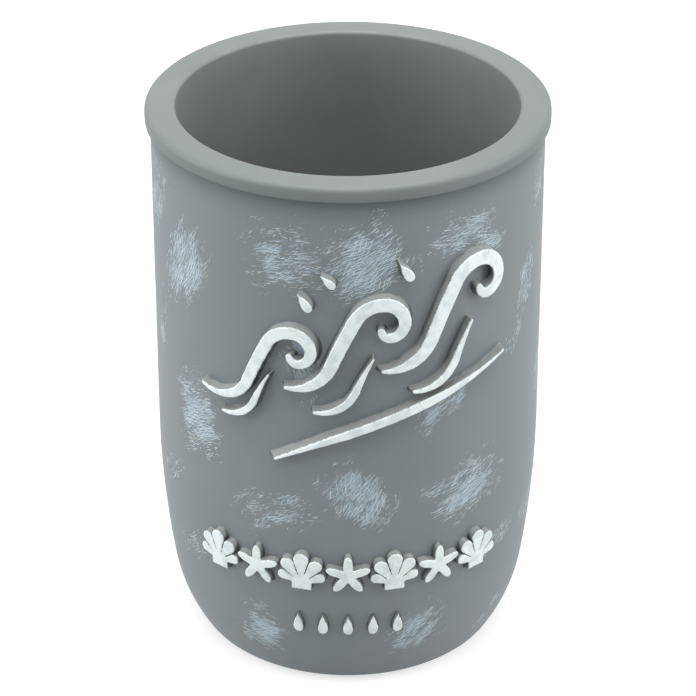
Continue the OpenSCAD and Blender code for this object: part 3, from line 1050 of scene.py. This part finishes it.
    def painted_shade(self, section: Array) -> Array:
        """How much painted shade each point of the outside takes in the rim's corner, by its distance d below
        it.

        That is a wide share of painted shade, share * exp(-(d / depth)^2), with the rest of 1 as exp(-(d /
        crease depth)^2), a narrow dark line of painted shade in the corner. The band of the rim above the
        corner is painted darker towards its bottom, by its share * exp(-rise / fall), and takes nothing on
        its flat top.

        Args:
            section: The section's points.
        Returns:
            The share of painted shade at each.
        """
        r, z = section.T
        below = self.wall.under_h - z
        wide, crease = [np.exp(-((below / depth) ** 2)) for depth in (self.painted_shade_depth, self.crease_depth)]
        corner = self.painted_shade_wide_share * wide + (1.0 - self.painted_shade_wide_share) * crease
        side = smooth(1.0 - (self.wall.rim_r - r) / self.rim_top_edge_r)
        band = side * self.band_shade_share * np.exp(np.minimum(below, 0.0) / self.band_shade_fall)
        return np.where(r > self.mouth_r + 0.5 * self.wall_t, np.where(below > -TINY, corner, band), 0.0)

    def all_round(self, values: Array) -> Array:
        """Carries one value for each point of the section to every point of the turned skin."""
        return np.concatenate([np.repeat(values[1:-1], self.around, axis=0), values[:1], values[-1:]])

    def build(self) -> Thing:
        """Makes the cup.

        Returns:
            The new object.
        """
        dressed, bare = [self.underside(), self.outside()], [self.rim(), self.inside()]
        section = np.concatenate(dressed + bare)
        is_bare = self.all_round(np.repeat([0.0, 1.0], [sum(map(len, dressed)), sum(map(len, bare))]))
        skin = turned_skin(section, self.around)
        turn = np.arctan2(skin.points[:, 0], -skin.points[:, 1])
        height = self.all_round(section[:, 1])
        skin.points = self.with_pockets(skin.points)
        calm = smooth((height - self.wall.stand_h - self.wall.toe_r) / self.uneven_from)
        bumps = uneven(self.uneven_waves * turn, height / self.uneven_pitch, self.uneven_phase)
        r = np.maximum(np.hypot(skin.points[:, 0], skin.points[:, 1]), TINY)
        skin.points[:, :2] *= (1.0 - np.abs(self.unevenness * bumps * calm) / r)[:, None]
        brushed = (is_bare < 1.0) & (height > self.brushed_from) & (height < self.wall.under_h)
        skin.values = {
            "wear": self.all_round(self.wear(section)),
            # Painted shade in the rim's corner and on the rim's band
            "painted_shade": self.all_round(self.painted_shade(section)),
            "bare": is_bare,
            **self.brushing.carried(turn, height, brushed.astype(float)),
        }
        finish = BrushedResin(len(self.brushing.layers())).material()
        return skin.piece("cast_cup", finish, Slot.RESIN, "cup_casting")


@dataclass
class FootPads:
    """The soft pads that are glued into the pockets of the base.

    The shares are those of the radius on the pad's face, and of the radius and the thickness above its edge.
    """

    cup: CastCup
    thickness: float = 1.2 * MM
    edge_r: float = 0.3 * MM
    edge_rows: int = 6
    around: int = 64
    face_shares: Sequence[float] = (0.0, 0.5, 0.85)
    side_shares: Shares = ((1.0, 0.6), (1.0, 0.96), (0.98, 1.0), (0.5, 1.0), (0.0, 1.0))

    def build(self) -> list[Thing]:
        """Makes one turned disc for each pad, with its lower edge rounded.

        Returns:
            The new objects.
        """
        finish = PadRubber().material()
        r, e = self.cup.pad_r, self.edge_r
        turn = np.linspace(0.0, QUARTER, self.edge_rows)
        section = np.concatenate([
            [(share * r, 0.0) for share in self.face_shares],
            np.stack([r - e + e * np.sin(turn), e - e * np.cos(turn)], axis=1),
            np.array(self.side_shares) * (r, self.thickness),
        ])
        made = []
        for number in range(1, self.cup.pad_count + 1):
            node = f"foot_pad_{number}"
            low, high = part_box(node)
            skin = turned_skin(section, self.around)
            skin.points[:, :2] += np.array([low.x + high.x, low.y + high.y]) / 2
            made.append(skin.piece(f"rubber_pad_{number}", finish, Slot.PAD, node))
        return made


@dataclass
class Outline:
    """A closed outline on the wall, and the line or point that its top closes on.

    edge and normals go anticlockwise round it, spine is the inner line, and nearest says which
    point of the spine each point of the edge belongs to.
    """

    edge: Array
    normals: Array
    spine: Array
    nearest: Array

    @classmethod
    def round_its_zero(cls, points: Array, spacing: float) -> "Outline":
        """An outline whose top closes on the plane's zero."""
        edge = evenly_spaced(anticlockwise(points), spacing)
        return cls(edge, outward_normals(edge), np.zeros((1, 2)), np.zeros(len(edge), int))

    @classmethod
    def along_a_path(cls, path: Array, headings: Array, widths: Array, end_steps: int = 10) -> "Outline":
        """The outline of a stroke, half its width from its path: right side, end, left side and start.

        Args:
            path: Points of the stroke's middle line.
            headings: Its heading at each of them.
            widths: Its width at each of them.
            end_steps: How many steps each round end has.
        Returns:
            The outline, whose top closes on the middle line.
        """
        forth = np.arange(len(path))
        half_turn = np.linspace(-QUARTER, QUARTER, end_steps + 1)[1:-1]
        ends = np.full(len(half_turn), len(path) - 1), np.zeros(len(half_turn), int)
        nearest = np.concatenate([forth, ends[0], forth[::-1], ends[1]])
        way = np.concatenate([
            headings - QUARTER, headings[-1] + half_turn,
            headings[::-1] + QUARTER, headings[0] + math.pi + half_turn,
        ])
        normals = np.stack([np.cos(way), np.sin(way)], axis=1)
        edge = path[nearest] + normals * (widths[nearest] / 2)[:, None]
        return cls(edge, normals, path, nearest)

    def raised(self, by: float) -> "Outline":
        """The same outline higher on the wall."""
        up = np.array([0.0, by])
        return Outline(self.edge + up, self.normals, self.spine + up, self.nearest)


@dataclass
class RaisedForm:
    """How every raised piece stands on the wall: a root, nearly upright sides, a rounded edge and a flat top.

    Ring k is the outline moved inwards by inset_k and stands out by lift_k. The last rings draw in to the
    spine, and the first one lies in the wall and closes there. The root's shares are those of its size,
    the flat's is how many edge radii in the flat top starts, and the drawn shares say how far the last
    rings are drawn in. Their insets are rough, and the finish reads them.
    """

    wall: Wall
    finish: bpy.types.Material
    sunk: float = 0.35 * MM
    root: float = 0.22 * MM
    root_inset_shares: Sequence[float] = (-1.0, -1.0, -0.3, 0.0)
    root_lift_shares: Sequence[float] = (0.0, 0.4, 1.6)
    draft: float = 0.06 * MM
    edge_r: float = 0.2 * MM
    edge_steps: int = 5
    flat_share: float = 1.6
    drawn_shares: Sequence[float] = (0.35, 0.7)
    drawn_insets: Sequence[float] = (0.8 * MM, 1.2 * MM)
    thin_share: float = 0.55
    edge_wander: float = 0.045 * MM
    wander_pitch: float = 0.42 * MM
    top_wander: float = 0.03 * MM
    top_pitch: float = 1.1 * MM
    top_share: float = 0.8
    spacing: float = 0.14 * MM

    def rings(self, relief: float) -> tuple[Array, Array]:
        """Insets and lifts of the rings, from the one in the wall up to the edge of the top.

        Args:
            relief: How far the top stands out.
        Returns:
            The insets and the lifts.
        """
        turn = np.linspace(0.0, QUARTER, self.edge_steps)
        edge = self.draft + self.edge_r * np.append(1.0 - np.cos(turn), self.flat_share)
        inset = np.append(self.root * np.array(self.root_inset_shares), edge)
        top = relief - self.edge_r * np.append(1.0 - np.sin(turn), 0.0)
        lift = np.concatenate([[-self.sunk], self.root * np.array(self.root_lift_shares), top])
        return inset, lift

    def faces(self, count: int, n: int, nearest: Array, spine_count: int) -> tuple[Array, Array]:
        """Faces between the rings, from the last to the spine over it and from the first to that under it.

        Args:
            count: How many rings there are.
            n: How many points each has.
            nearest: Which point of the spine each of them belongs to.
            spine_count: How many points the spine has. The one over the top comes right after the rings.
        Returns:
            The quads and the triangles.
        """
        index = np.arange(count * n).reshape(count, n)
        ahead = np.roll(index, -1, axis=1)
        sides = np.stack([index[:-1], ahead[:-1], ahead[1:], index[1:]], axis=-1).reshape(-1, 4)
        to, to_ahead = count * n + nearest, count * n + np.roll(nearest, -1)
        caps = np.concatenate([
            np.stack([index[-1], ahead[-1], to_ahead, to], axis=1),
            np.stack([ahead[0], index[0], to + spine_count, to_ahead + spine_count], axis=1),
        ])
        folded = caps[:, 2] == caps[:, 3]
        return np.concatenate([sides, caps[~folded]]), caps[folded, :3]

    def build(
        self, name: str, outline: Outline, mid_s: float, relief: float, node: str, phase: float
    ) -> Thing:
        """Makes a raised piece.

        Args:
            name: The piece's name.
            outline: Its outline, with its zero at mid_s.
            mid_s: Where it lies, round the belly from the front.
            relief: How far it stands out from the wall.
            node: The CAD node that it replaces.
            phase: Shifts its unevenness.
        Returns:
            The new object.
        """
        inset, lift = self.rings(relief)
        spine = outline.spine[outline.nearest]
        n, m = len(outline.edge), len(outline.spine)
        half = np.linalg.norm(outline.edge - spine, axis=1)
        wander = self.edge_wander * uneven(*(outline.edge.T / self.wander_pitch), phase)
        kept = np.minimum(np.maximum(inset, 0.0)[:, None], self.thin_share * half)
        kept = kept + np.minimum(inset, 0.0)[:, None]
        rings = outline.edge + outline.normals * (wander - kept)[:, :, None]
        shares = np.array(self.drawn_shares)[:, None, None]
        rings = np.concatenate([rings, rings[-1] * (1.0 - shares) + spine * shares])
        flat = np.concatenate([rings.reshape(-1, 2), outline.spine, outline.spine])
        lifts = np.append(lift, np.full(len(shares), relief))
        height = np.concatenate([np.repeat(lifts, n), np.full(m, relief), np.full(m, -self.sunk)])
        on_top = smooth((height / relief - self.top_share) / (1.0 - self.top_share))
        height = height + on_top * self.top_wander * (uneven(*(flat.T / self.top_pitch), phase) - 1.0)
        faces = self.faces(len(rings), n, outline.nearest, m)
        skin = Skin(self.wall.stand_proud(flat, mid_s, height), *faces)
        insets = np.repeat(np.append(inset, self.drawn_insets), n)
        skin.values = {
            "upward": np.append(np.tile(outline.normals[:, 1], len(rings)), np.zeros(2 * m)),
            "lift": np.clip(height / relief, 0.0, 1.0),
            "inset": np.append(insets, np.full(2 * m, self.drawn_insets[-1])) / MM,
        }
        return skin.piece(name, self.finish, Slot.RELIEF, node)


def stroke(
    start: Sequence[float], heading: float, width: float, arcs: Array, step: float = 0.2 * MM
) -> tuple[Array, Array, Array]:
    """Walks along arcs in turn: each short step is a chord, step sin(t / 2) / (t / 2), at the mean heading.

    Args:
        start: Where the stroke starts.
        heading: The way it starts in.
        width: Its width there.
        arcs: A row for each arc: its length, its turn, and the width at its end.
        step: About how long a step is.
    Returns:
        Points of the middle line, the heading and the width at each.
    """
    steps = np.maximum(3, np.ceil(arcs[:, 0] / step)).astype(int)
    turns = np.repeat(arcs[:, 1] / steps, steps)
    chords = np.repeat(arcs[:, 0] / steps, steps) * np.sinc(turns / TURN)
    headings = heading + np.append(0.0, np.cumsum(turns))
    middle = headings[:-1] + turns / 2
    moves = chords[:, None] * np.stack([np.cos(middle), np.sin(middle)], axis=1)
    path = np.asarray(start) + np.concatenate([np.zeros((1, 2)), np.cumsum(moves, axis=0)])
    ends = np.append(0, np.cumsum(steps))
    widths = np.interp(np.arange(len(path)), ends, np.append(width, arcs[:, 2]))
    return path, headings, widths


def arcs_from(shares: Shares, length: float, width: float) -> Array:
    """Arcs of a stroke from shares of a length, turns in degrees and shares of a width."""
    return np.array(shares, float) * (length, math.radians(1.0), width)


def drop_outline(height: float, lean: float, width_share: float = 0.3, point_power: float = 1.3) -> Outline:
    """A drop, x = w h sin t sin(t / 2)^p and y = h / 2 cos t, which leans over to the left.

    Its top closes on its axis, from just under its point down into its round part.

    Args:
        height: Height of the drop.
        lean: How far it leans.
        width_share: Half its width, w, as a share of its height.
        point_power: How sharp its point is, p.
    Returns:
        The outline.
    """
    half_count, first, last = 50, 3, 33
    row = np.arange(2 * half_count)
    t = math.pi * row / half_count
    x = -height * width_share * np.sin(t) * np.abs(np.sin(t / 2)) ** point_power
    y = height / 2 * np.cos(t)
    edge = turned(np.stack([x, y], axis=1), lean)
    spine = turned(np.stack([0.0 * y, y], axis=1)[first:last + 1], lean)
    nearest = np.clip(np.minimum(row, 2 * half_count - row), first, last) - first
    return Outline(edge, outward_normals(edge), spine, nearest)


@dataclass
class Waves:
    """The three waves, the ripples at their backs, the long stroke under them and the spray over them.

    A row of crest, ripple or sweep shares is an arc: its length as a share of the wave's radius or the
    sweep's length, its turn in degrees and the share of the stroke's width at its end. A row of spray
    shares is a drop: its place along and up in pitches, its size and its lean in degrees.
    """

    form: RaisedForm
    relief: float = 1.9 * MM
    crest_r: float = 5.7 * MM
    growth: float = 0.55 * MM
    stroke_w: float = 2.5 * MM
    gap: float = 1.0 * MM
    reach_share: float = 2.825
    rise: float = 3.9 * MM
    start_s: float = -28.6 * MM
    drop: float = 44.0 * MM
    tail_share: float = 0.25
    trough_share: float = 0.6
    middle_share: float = 2.0
    heading: float = math.radians(-24.0)
    count: int = 3
    crest_shares: Shares = (
        (1.25, 50, 0.75), (0.9, 42, 0.95), (1.7, -6, 1), (1, -66, 1), (0.95, -84, 0.9), (0.66, -86, 0.75),
        (0.42, -86, 0.52),
    )
    ripple_shares: Shares = ((0.7, 34, 0.56), (0.8, 40, 0.6), (1.15, -8, 0.18))
    ripple_heading: float = math.radians(-6.0)
    ripple_offset_shares: Sequence[float] = (0.85, -0.72)
    sweep_length: float = 49.0 * MM
    sweep_w: float = 2.0 * MM
    sweep_gap: float = 3.8 * MM
    sweep_start_share: float = 0.84
    sweep_tip_share: float = 0.24
    sweep_heading: float = math.radians(29.0)
    sweep_shares: Shares = ((0.3, -8, 0.9), (0.33, -4, 1), (0.37, 2, 0.24))
    spray_h: float = 4.4 * MM
    spray_shares: Shares = ((1.23, 1.26, 0.95, 35), (1.47, 1.52, 0.8, 46), (2.26, 1.6, 1, 34))

    def __post_init__(self) -> None:
        """Works out the waves' pitch and their first height."""
        self.pitch = self.reach_share * self.crest_r + self.gap
        self.start_h = self.form.wall.cup_h - self.drop

    def radius(self, number: int) -> float:
        """Radius of a wave's crest."""
        return self.crest_r + (number - 1) * self.growth

    def start(self, number: int) -> Array:
        """Where a wave starts."""
        return np.array([self.start_s, self.start_h]) + (number - 1) * np.array([self.pitch, self.rise])

    def ripple_start(self, number: int) -> Array:
        """Where a ripple starts."""
        return self.start(number) + np.array(self.ripple_offset_shares) * self.radius(number)

    def on_wave(
        self, kind: str, number: int, start: Array, heading: float, arcs: Array, phase: float
    ) -> Thing:
        """Makes a crest or a ripple, with the wave's middle as its own.

        Args:
            kind: Its kind, as the names give it.
            number: Which wave it belongs to.
            start: Where its stroke starts.
            heading: The way that it starts in.
            arcs: The stroke's arcs.
            phase: Shifts its unevenness.
        Returns:
            The new object.
        """
        middle = self.start(number)[0] + self.middle_share * self.radius(number)
        tail = self.tail_share * self.width(number)
        outline = Outline.along_a_path(*stroke(start - (middle, 0.0), heading, tail, arcs))
        name, node = f"{kind}_relief_{number}", f"wave_{kind}_{number}"
        return self.form.build(name, outline, middle, self.relief, node, phase)

    def width(self, number: int) -> float:
        """Widest stroke of a wave."""
        return self.stroke_w * self.radius(number) / self.crest_r

    def crest(self, number: int) -> Thing:
        """Makes a wave: a trough, a steep back and a curl. Later waves have only the trough's later part.

        Args:
            number: Which wave it is.
        Returns:
            The new object.
        """
        arcs = arcs_from(self.crest_shares, self.radius(number), self.width(number))
        heading = self.heading
        if number > 1:
            heading += arcs[0, 1] * (1.0 - self.trough_share)
            arcs[0, :2] *= self.trough_share
        return self.on_wave("crest", number, self.start(number), heading, arcs, phase=1.3 * number)

    def ripple(self, number: int) -> Thing:
        """Makes the thin stroke at a wave's back.

        Args:
            number: Which wave it belongs to.
        Returns:
            The new object.
        """
        arcs = arcs_from(self.ripple_shares, self.radius(number), self.width(number))
        start = self.ripple_start(number)
        return self.on_wave("ripple", number, start, self.ripple_heading, arcs, phase=0.6 + number)

    def sweep(self) -> Thing:
        """Makes the long stroke, whose middle line passes under the start of the last ripple.

        Returns:
            The new object.
        """
        arcs = arcs_from(self.sweep_shares, self.sweep_length, self.sweep_w)
        heading, tip = self.sweep_heading, self.sweep_tip_share * self.sweep_w
        start_s = self.start_s + self.sweep_start_share * self.pitch
        line = stroke((0.0, 0.0), heading, tip, arcs)[0]
        last_s, last_h = self.ripple_start(self.count)
        start_h = last_h - self.sweep_gap - np.interp(last_s - start_s, line[:, 0], line[:, 1])
        half = self.sweep_length / 2
        outline = Outline.along_a_path(*stroke((-half, start_h), heading, tip, arcs))
        middle = start_s + half
        return self.form.build("long_stroke_relief", outline, middle, self.relief, "wave_sweep", phase=2.2)

    def spray(self, number: int) -> Thing:
        """Makes a drop of spray.

        Args:
            number: Which drop it is.
        Returns:
            The new object.
        """
        along, up, size, lean = self.spray_shares[number - 1]
        outline = drop_outline(self.spray_h * size, math.radians(lean)).raised(self.start_h + up * self.pitch)
        middle = along * self.pitch + self.start_s
        name, node = f"spray_relief_{number}", f"spray_drop_{number}"
        return self.form.build(name, outline, middle, self.relief, node, phase=4.4 * number)

    def build(self) -> list[Thing]:
        """Makes all the waves' pieces.

        Returns:
            The new objects.
        """
        numbers = range(1, self.count + 1)
        made = [self.crest(k) for k in numbers] + [self.ripple(k) for k in numbers]
        return made + [self.sweep()] + [self.spray(k + 1) for k in range(len(self.spray_shares))]


@dataclass
class ShellsAndStars:
    """The row of scallop shells and stars.

    A row of rib shares is a rib: its angle in degrees and its length as a share of the longest one. The
    hinge's shares are its half width and its height, of the same length.
    """

    form: RaisedForm
    relief: float = 1.4 * MM
    gap: float = 0.55 * MM
    row_h: float = 30.0 * MM
    shell_h: float = 8.3 * MM
    star_h: float = 8.0 * MM
    count: int = 7
    rib_shares: Shares = ((-66, 0.72), (-33, 0.91), (0, 1), (33, 0.91), (66, 0.72))
    rib_half_angle: float = math.radians(12.6)
    rib_spacing: float = math.radians(33)
    rib_gap_share: float = 0.3
    hinge_shares: Sequence[float] = (0.28, 0.2)
    lobe_turn: float = math.radians(100)
    lobe_points: int = 25
    star_arms: int = 5
    star_points: int = 400
    star_waist_share: float = 0.38
    star_taper: float = 1.1

    def shell(self) -> Outline:
        """A scallop: each rib ends in a lobe, middle + lobe (sin, cos)(rib + turn), and gaps part the ribs.

        Returns:
            The outline.
        """
        r = self.shell_h / (1.0 + self.hinge_shares[1])
        rows = np.array(self.rib_shares, float)
        rib, length = np.radians(rows[:, :1]), r * rows[:, 1:]
        lobe = length * math.sin(self.rib_half_angle)
        middle, gap = length - lobe, r * self.rib_gap_share
        turn = rib + np.linspace(-self.lobe_turn, self.lobe_turn, self.lobe_points)
        before, last = rib - self.rib_spacing / 2, rib[-1] + self.rib_spacing / 2
        x, y = [
            np.concatenate([gap * way(before), middle * way(rib) + lobe * way(turn)], axis=1).ravel()
            for way in (np.sin, np.cos)
        ]
        half, low = np.array(self.hinge_shares) * r
        hinge = [(half, 0.0), (half, -low), (-half, -low), (-half, 0.0)]
        end = gap * np.stack([np.sin(last), np.cos(last)], axis=1)
        points = np.concatenate([np.stack([x, y], axis=1), end, hinge])
        outline = Outline.round_its_zero(points, self.form.spacing)
        return outline.raised(self.row_h + self.shell_h / 2 - r)

    def star(self) -> Outline:
        """A star: its radius is r (w + (1 - w) ((1 + cos n t) / 2)^p), with a waist w and n arms.

        Returns:
            The outline.
        """
        r = self.star_h / (1.0 + math.cos(math.pi / self.star_arms))
        t = np.linspace(0.0, TURN, self.star_points, endpoint=False)
        arm = ((1.0 + np.cos(self.star_arms * t)) / 2) ** self.star_taper
        reach = r * (self.star_waist_share + (1.0 - self.star_waist_share) * arm)
        points = np.stack([reach * np.sin(t), reach * np.cos(t)], axis=1)
        outline = Outline.round_its_zero(points, self.form.spacing)
        return outline.raised(self.row_h + self.star_h / 2 - r)

    def build(self) -> list[Thing]:
        """Makes the row, in which shells and stars take turns.

        Returns:
            The new objects.
        """
        pitch = (self.shell_h + self.star_h) / 2 + self.gap
        made = []
        for place in range(self.count):
            motif = Motif.SHELL if place % 2 == 0 else Motif.STAR
            outline = self.shell() if motif is Motif.SHELL else self.star()
            middle = (place - (self.count - 1) / 2) * pitch
            number = place // 2 + 1
            name, node = f"{motif.value}_relief_{number}", f"{motif.value}_{number}"
            made.append(self.form.build(name, outline, middle, self.relief, node, phase=0.9 * place))
        return made


@dataclass
class WaterDrops:
    """The row of water drops under the shells and stars."""

    form: RaisedForm
    relief: float = 1.0 * MM
    height: float = 4.6 * MM
    pitch: float = 4.9 * MM
    row_h: float = 17.2 * MM
    count: int = 5

    def build(self) -> list[Thing]:
        """Makes the drops.

        Returns:
            The new objects.
        """
        made = []
        for place in range(self.count):
            outline = drop_outline(self.height, 0.0).raised(self.row_h)
            middle = (place - (self.count - 1) / 2) * self.pitch
            name, node = f"drop_relief_{place + 1}", f"water_drop_{place + 1}"
            made.append(self.form.build(name, outline, middle, self.relief, node, phase=2.7 * place))
        return made


@dataclass(frozen=True)
class Lamp:
    """A square softbox that looks at the tumbler."""

    name: str
    place: Place
    size: float
    power: float


@dataclass
class Studio:
    """Floor, lamps, world and camera."""

    floor_size: float = 6.0
    floor_gap: float = 0.05 * MM
    floor_colour: Colour = (0.47, 0.47, 0.47)
    floor_glow: float = 0.67
    sky_strength: float = 0.36
    white: Colour = (1.0, 1.0, 1.0)
    target: Place = (0.0, 0.0, 0.0573)
    camera_distance: float = 0.525
    camera_elevation: float = math.radians(29.56)
    camera_clip: Sequence[float] = (0.01, 20.0)
    image_px: int = 696
    focal_px: float = 2711.0
    sensor_width_mm: float = 36.0
    lamps: Sequence[Lamp] = (
        Lamp("top_box", (0.0, -0.12, 0.85), 0.8, 7.1),
        Lamp("left_box", (-0.75, -0.12, 0.30), 0.6, 3.4),
        Lamp("right_box", (0.75, -0.12, 0.30), 0.6, 3.4),
    )

    def floor(self) -> None:
        """Makes the pale floor. To the camera it glows a little, so that it is white but keeps its shadow.

        It is clear from below, so that the underside can be looked at.
        """
        half, down = self.floor_size / 2, -self.floor_gap
        mesh = bpy.data.meshes.new("floor")
        corners = [(-half, -half, down), (half, -half, down), (half, half, down), (-half, half, down)]
        mesh.from_pydata(corners, [], [(0, 1, 2, 3)])
        sheet = Sheet("pale_floor")
        sheet.shade({
            "Base Color": self.floor_colour,
            "Roughness": 1.0,
            "Specular IOR Level": 0.0,
            "Emission Color": self.white,
            "Emission Strength": sheet.times(sheet.seen(), self.floor_glow),
        })
        below = sheet.node("ShaderNodeNewGeometry", {}, "Backfacing")
        clear = sheet.node("ShaderNodeBsdfTransparent", {})
        either = sheet.node("ShaderNodeMixShader", {0: below, 1: sheet.shader.outputs["BSDF"], 2: clear})
        sheet.feed(sheet.surface, either)
        mesh.materials.append(sheet.material)
        floor = bpy.data.objects.new("floor", mesh)
        bpy.context.scene.collection.objects.link(floor)

    def world(self) -> None:
        """Makes an even sky, which is white where it is seen."""
        world = bpy.data.worlds.new("studio")
        world.use_nodes = True
        nodes = Nodes(world.node_tree)
        strength = nodes.node("ShaderNodeMapRange", {"Value": nodes.seen(), "To Min": self.sky_strength})
        sky = nodes.node("ShaderNodeBackground", {"Color": self.white, "Strength": strength})
        nodes.feed(nodes.nodes.new("ShaderNodeOutputWorld").inputs["Surface"], sky)
        bpy.context.scene.world = world

    def light(self, lamp: Lamp) -> None:
        """Hangs a softbox and aims it at the tumbler.

        Args:
            lamp: The softbox.
        """
        data = bpy.data.lights.new(lamp.name, "AREA")
        data.shape = "SQUARE"
        data.size = lamp.size
        data.energy = lamp.power
        hung = bpy.data.objects.new(lamp.name, data)
        hung.location = lamp.place
        hung.rotation_euler = (Vector(self.target) - Vector(lamp.place)).to_track_quat("-Z", "Y").to_euler()
        bpy.context.scene.collection.objects.link(hung)

    def camera(self) -> None:
        """Sets the camera up in front of the tumbler, looking down at it."""
        back = Vector((0.0, -math.cos(self.camera_elevation), math.sin(self.camera_elevation)))
        data = bpy.data.cameras.new("camera")
        data.sensor_width = self.sensor_width_mm
        data.lens = self.focal_px / self.image_px * self.sensor_width_mm
        data.clip_start, data.clip_end = self.camera_clip
        camera = bpy.data.objects.new("camera", data)
        camera.location = Vector(self.target) + back * self.camera_distance
        camera.rotation_euler = (-back).to_track_quat("-Z", "Y").to_euler()
        bpy.context.scene.collection.objects.link(camera)
        bpy.context.scene.camera = camera

    def build(self) -> None:
        """Sets the whole studio up."""
        self.camera()
        self.floor()
        self.world()
        for lamp in self.lamps:
            self.light(lamp)
        bpy.context.scene.view_settings.view_transform = "Standard"
        log.info("studio: floor, sky, %d lamps and a camera", len(self.lamps))


def main() -> None:
    """Builds the studio, the cup, its pads and its raised pieces."""
    logging.basicConfig(level=logging.INFO, format="%(name)s: %(message)s")
    Studio().build()
    low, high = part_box("cup_casting")
    wall = Wall(rim_r=(high.x - low.x) / 2, cup_h=high.z, stand_h=low.z)
    cup = CastCup(wall, DryBrushing(wall))
    cup.build()
    FootPads(cup).build()
    form = RaisedForm(wall, PaintedRelief().material())
    Waves(form).build()
    ShellsAndStars(form).build()
    WaterDrops(form).build()


if __name__ == "__main__":
    main()
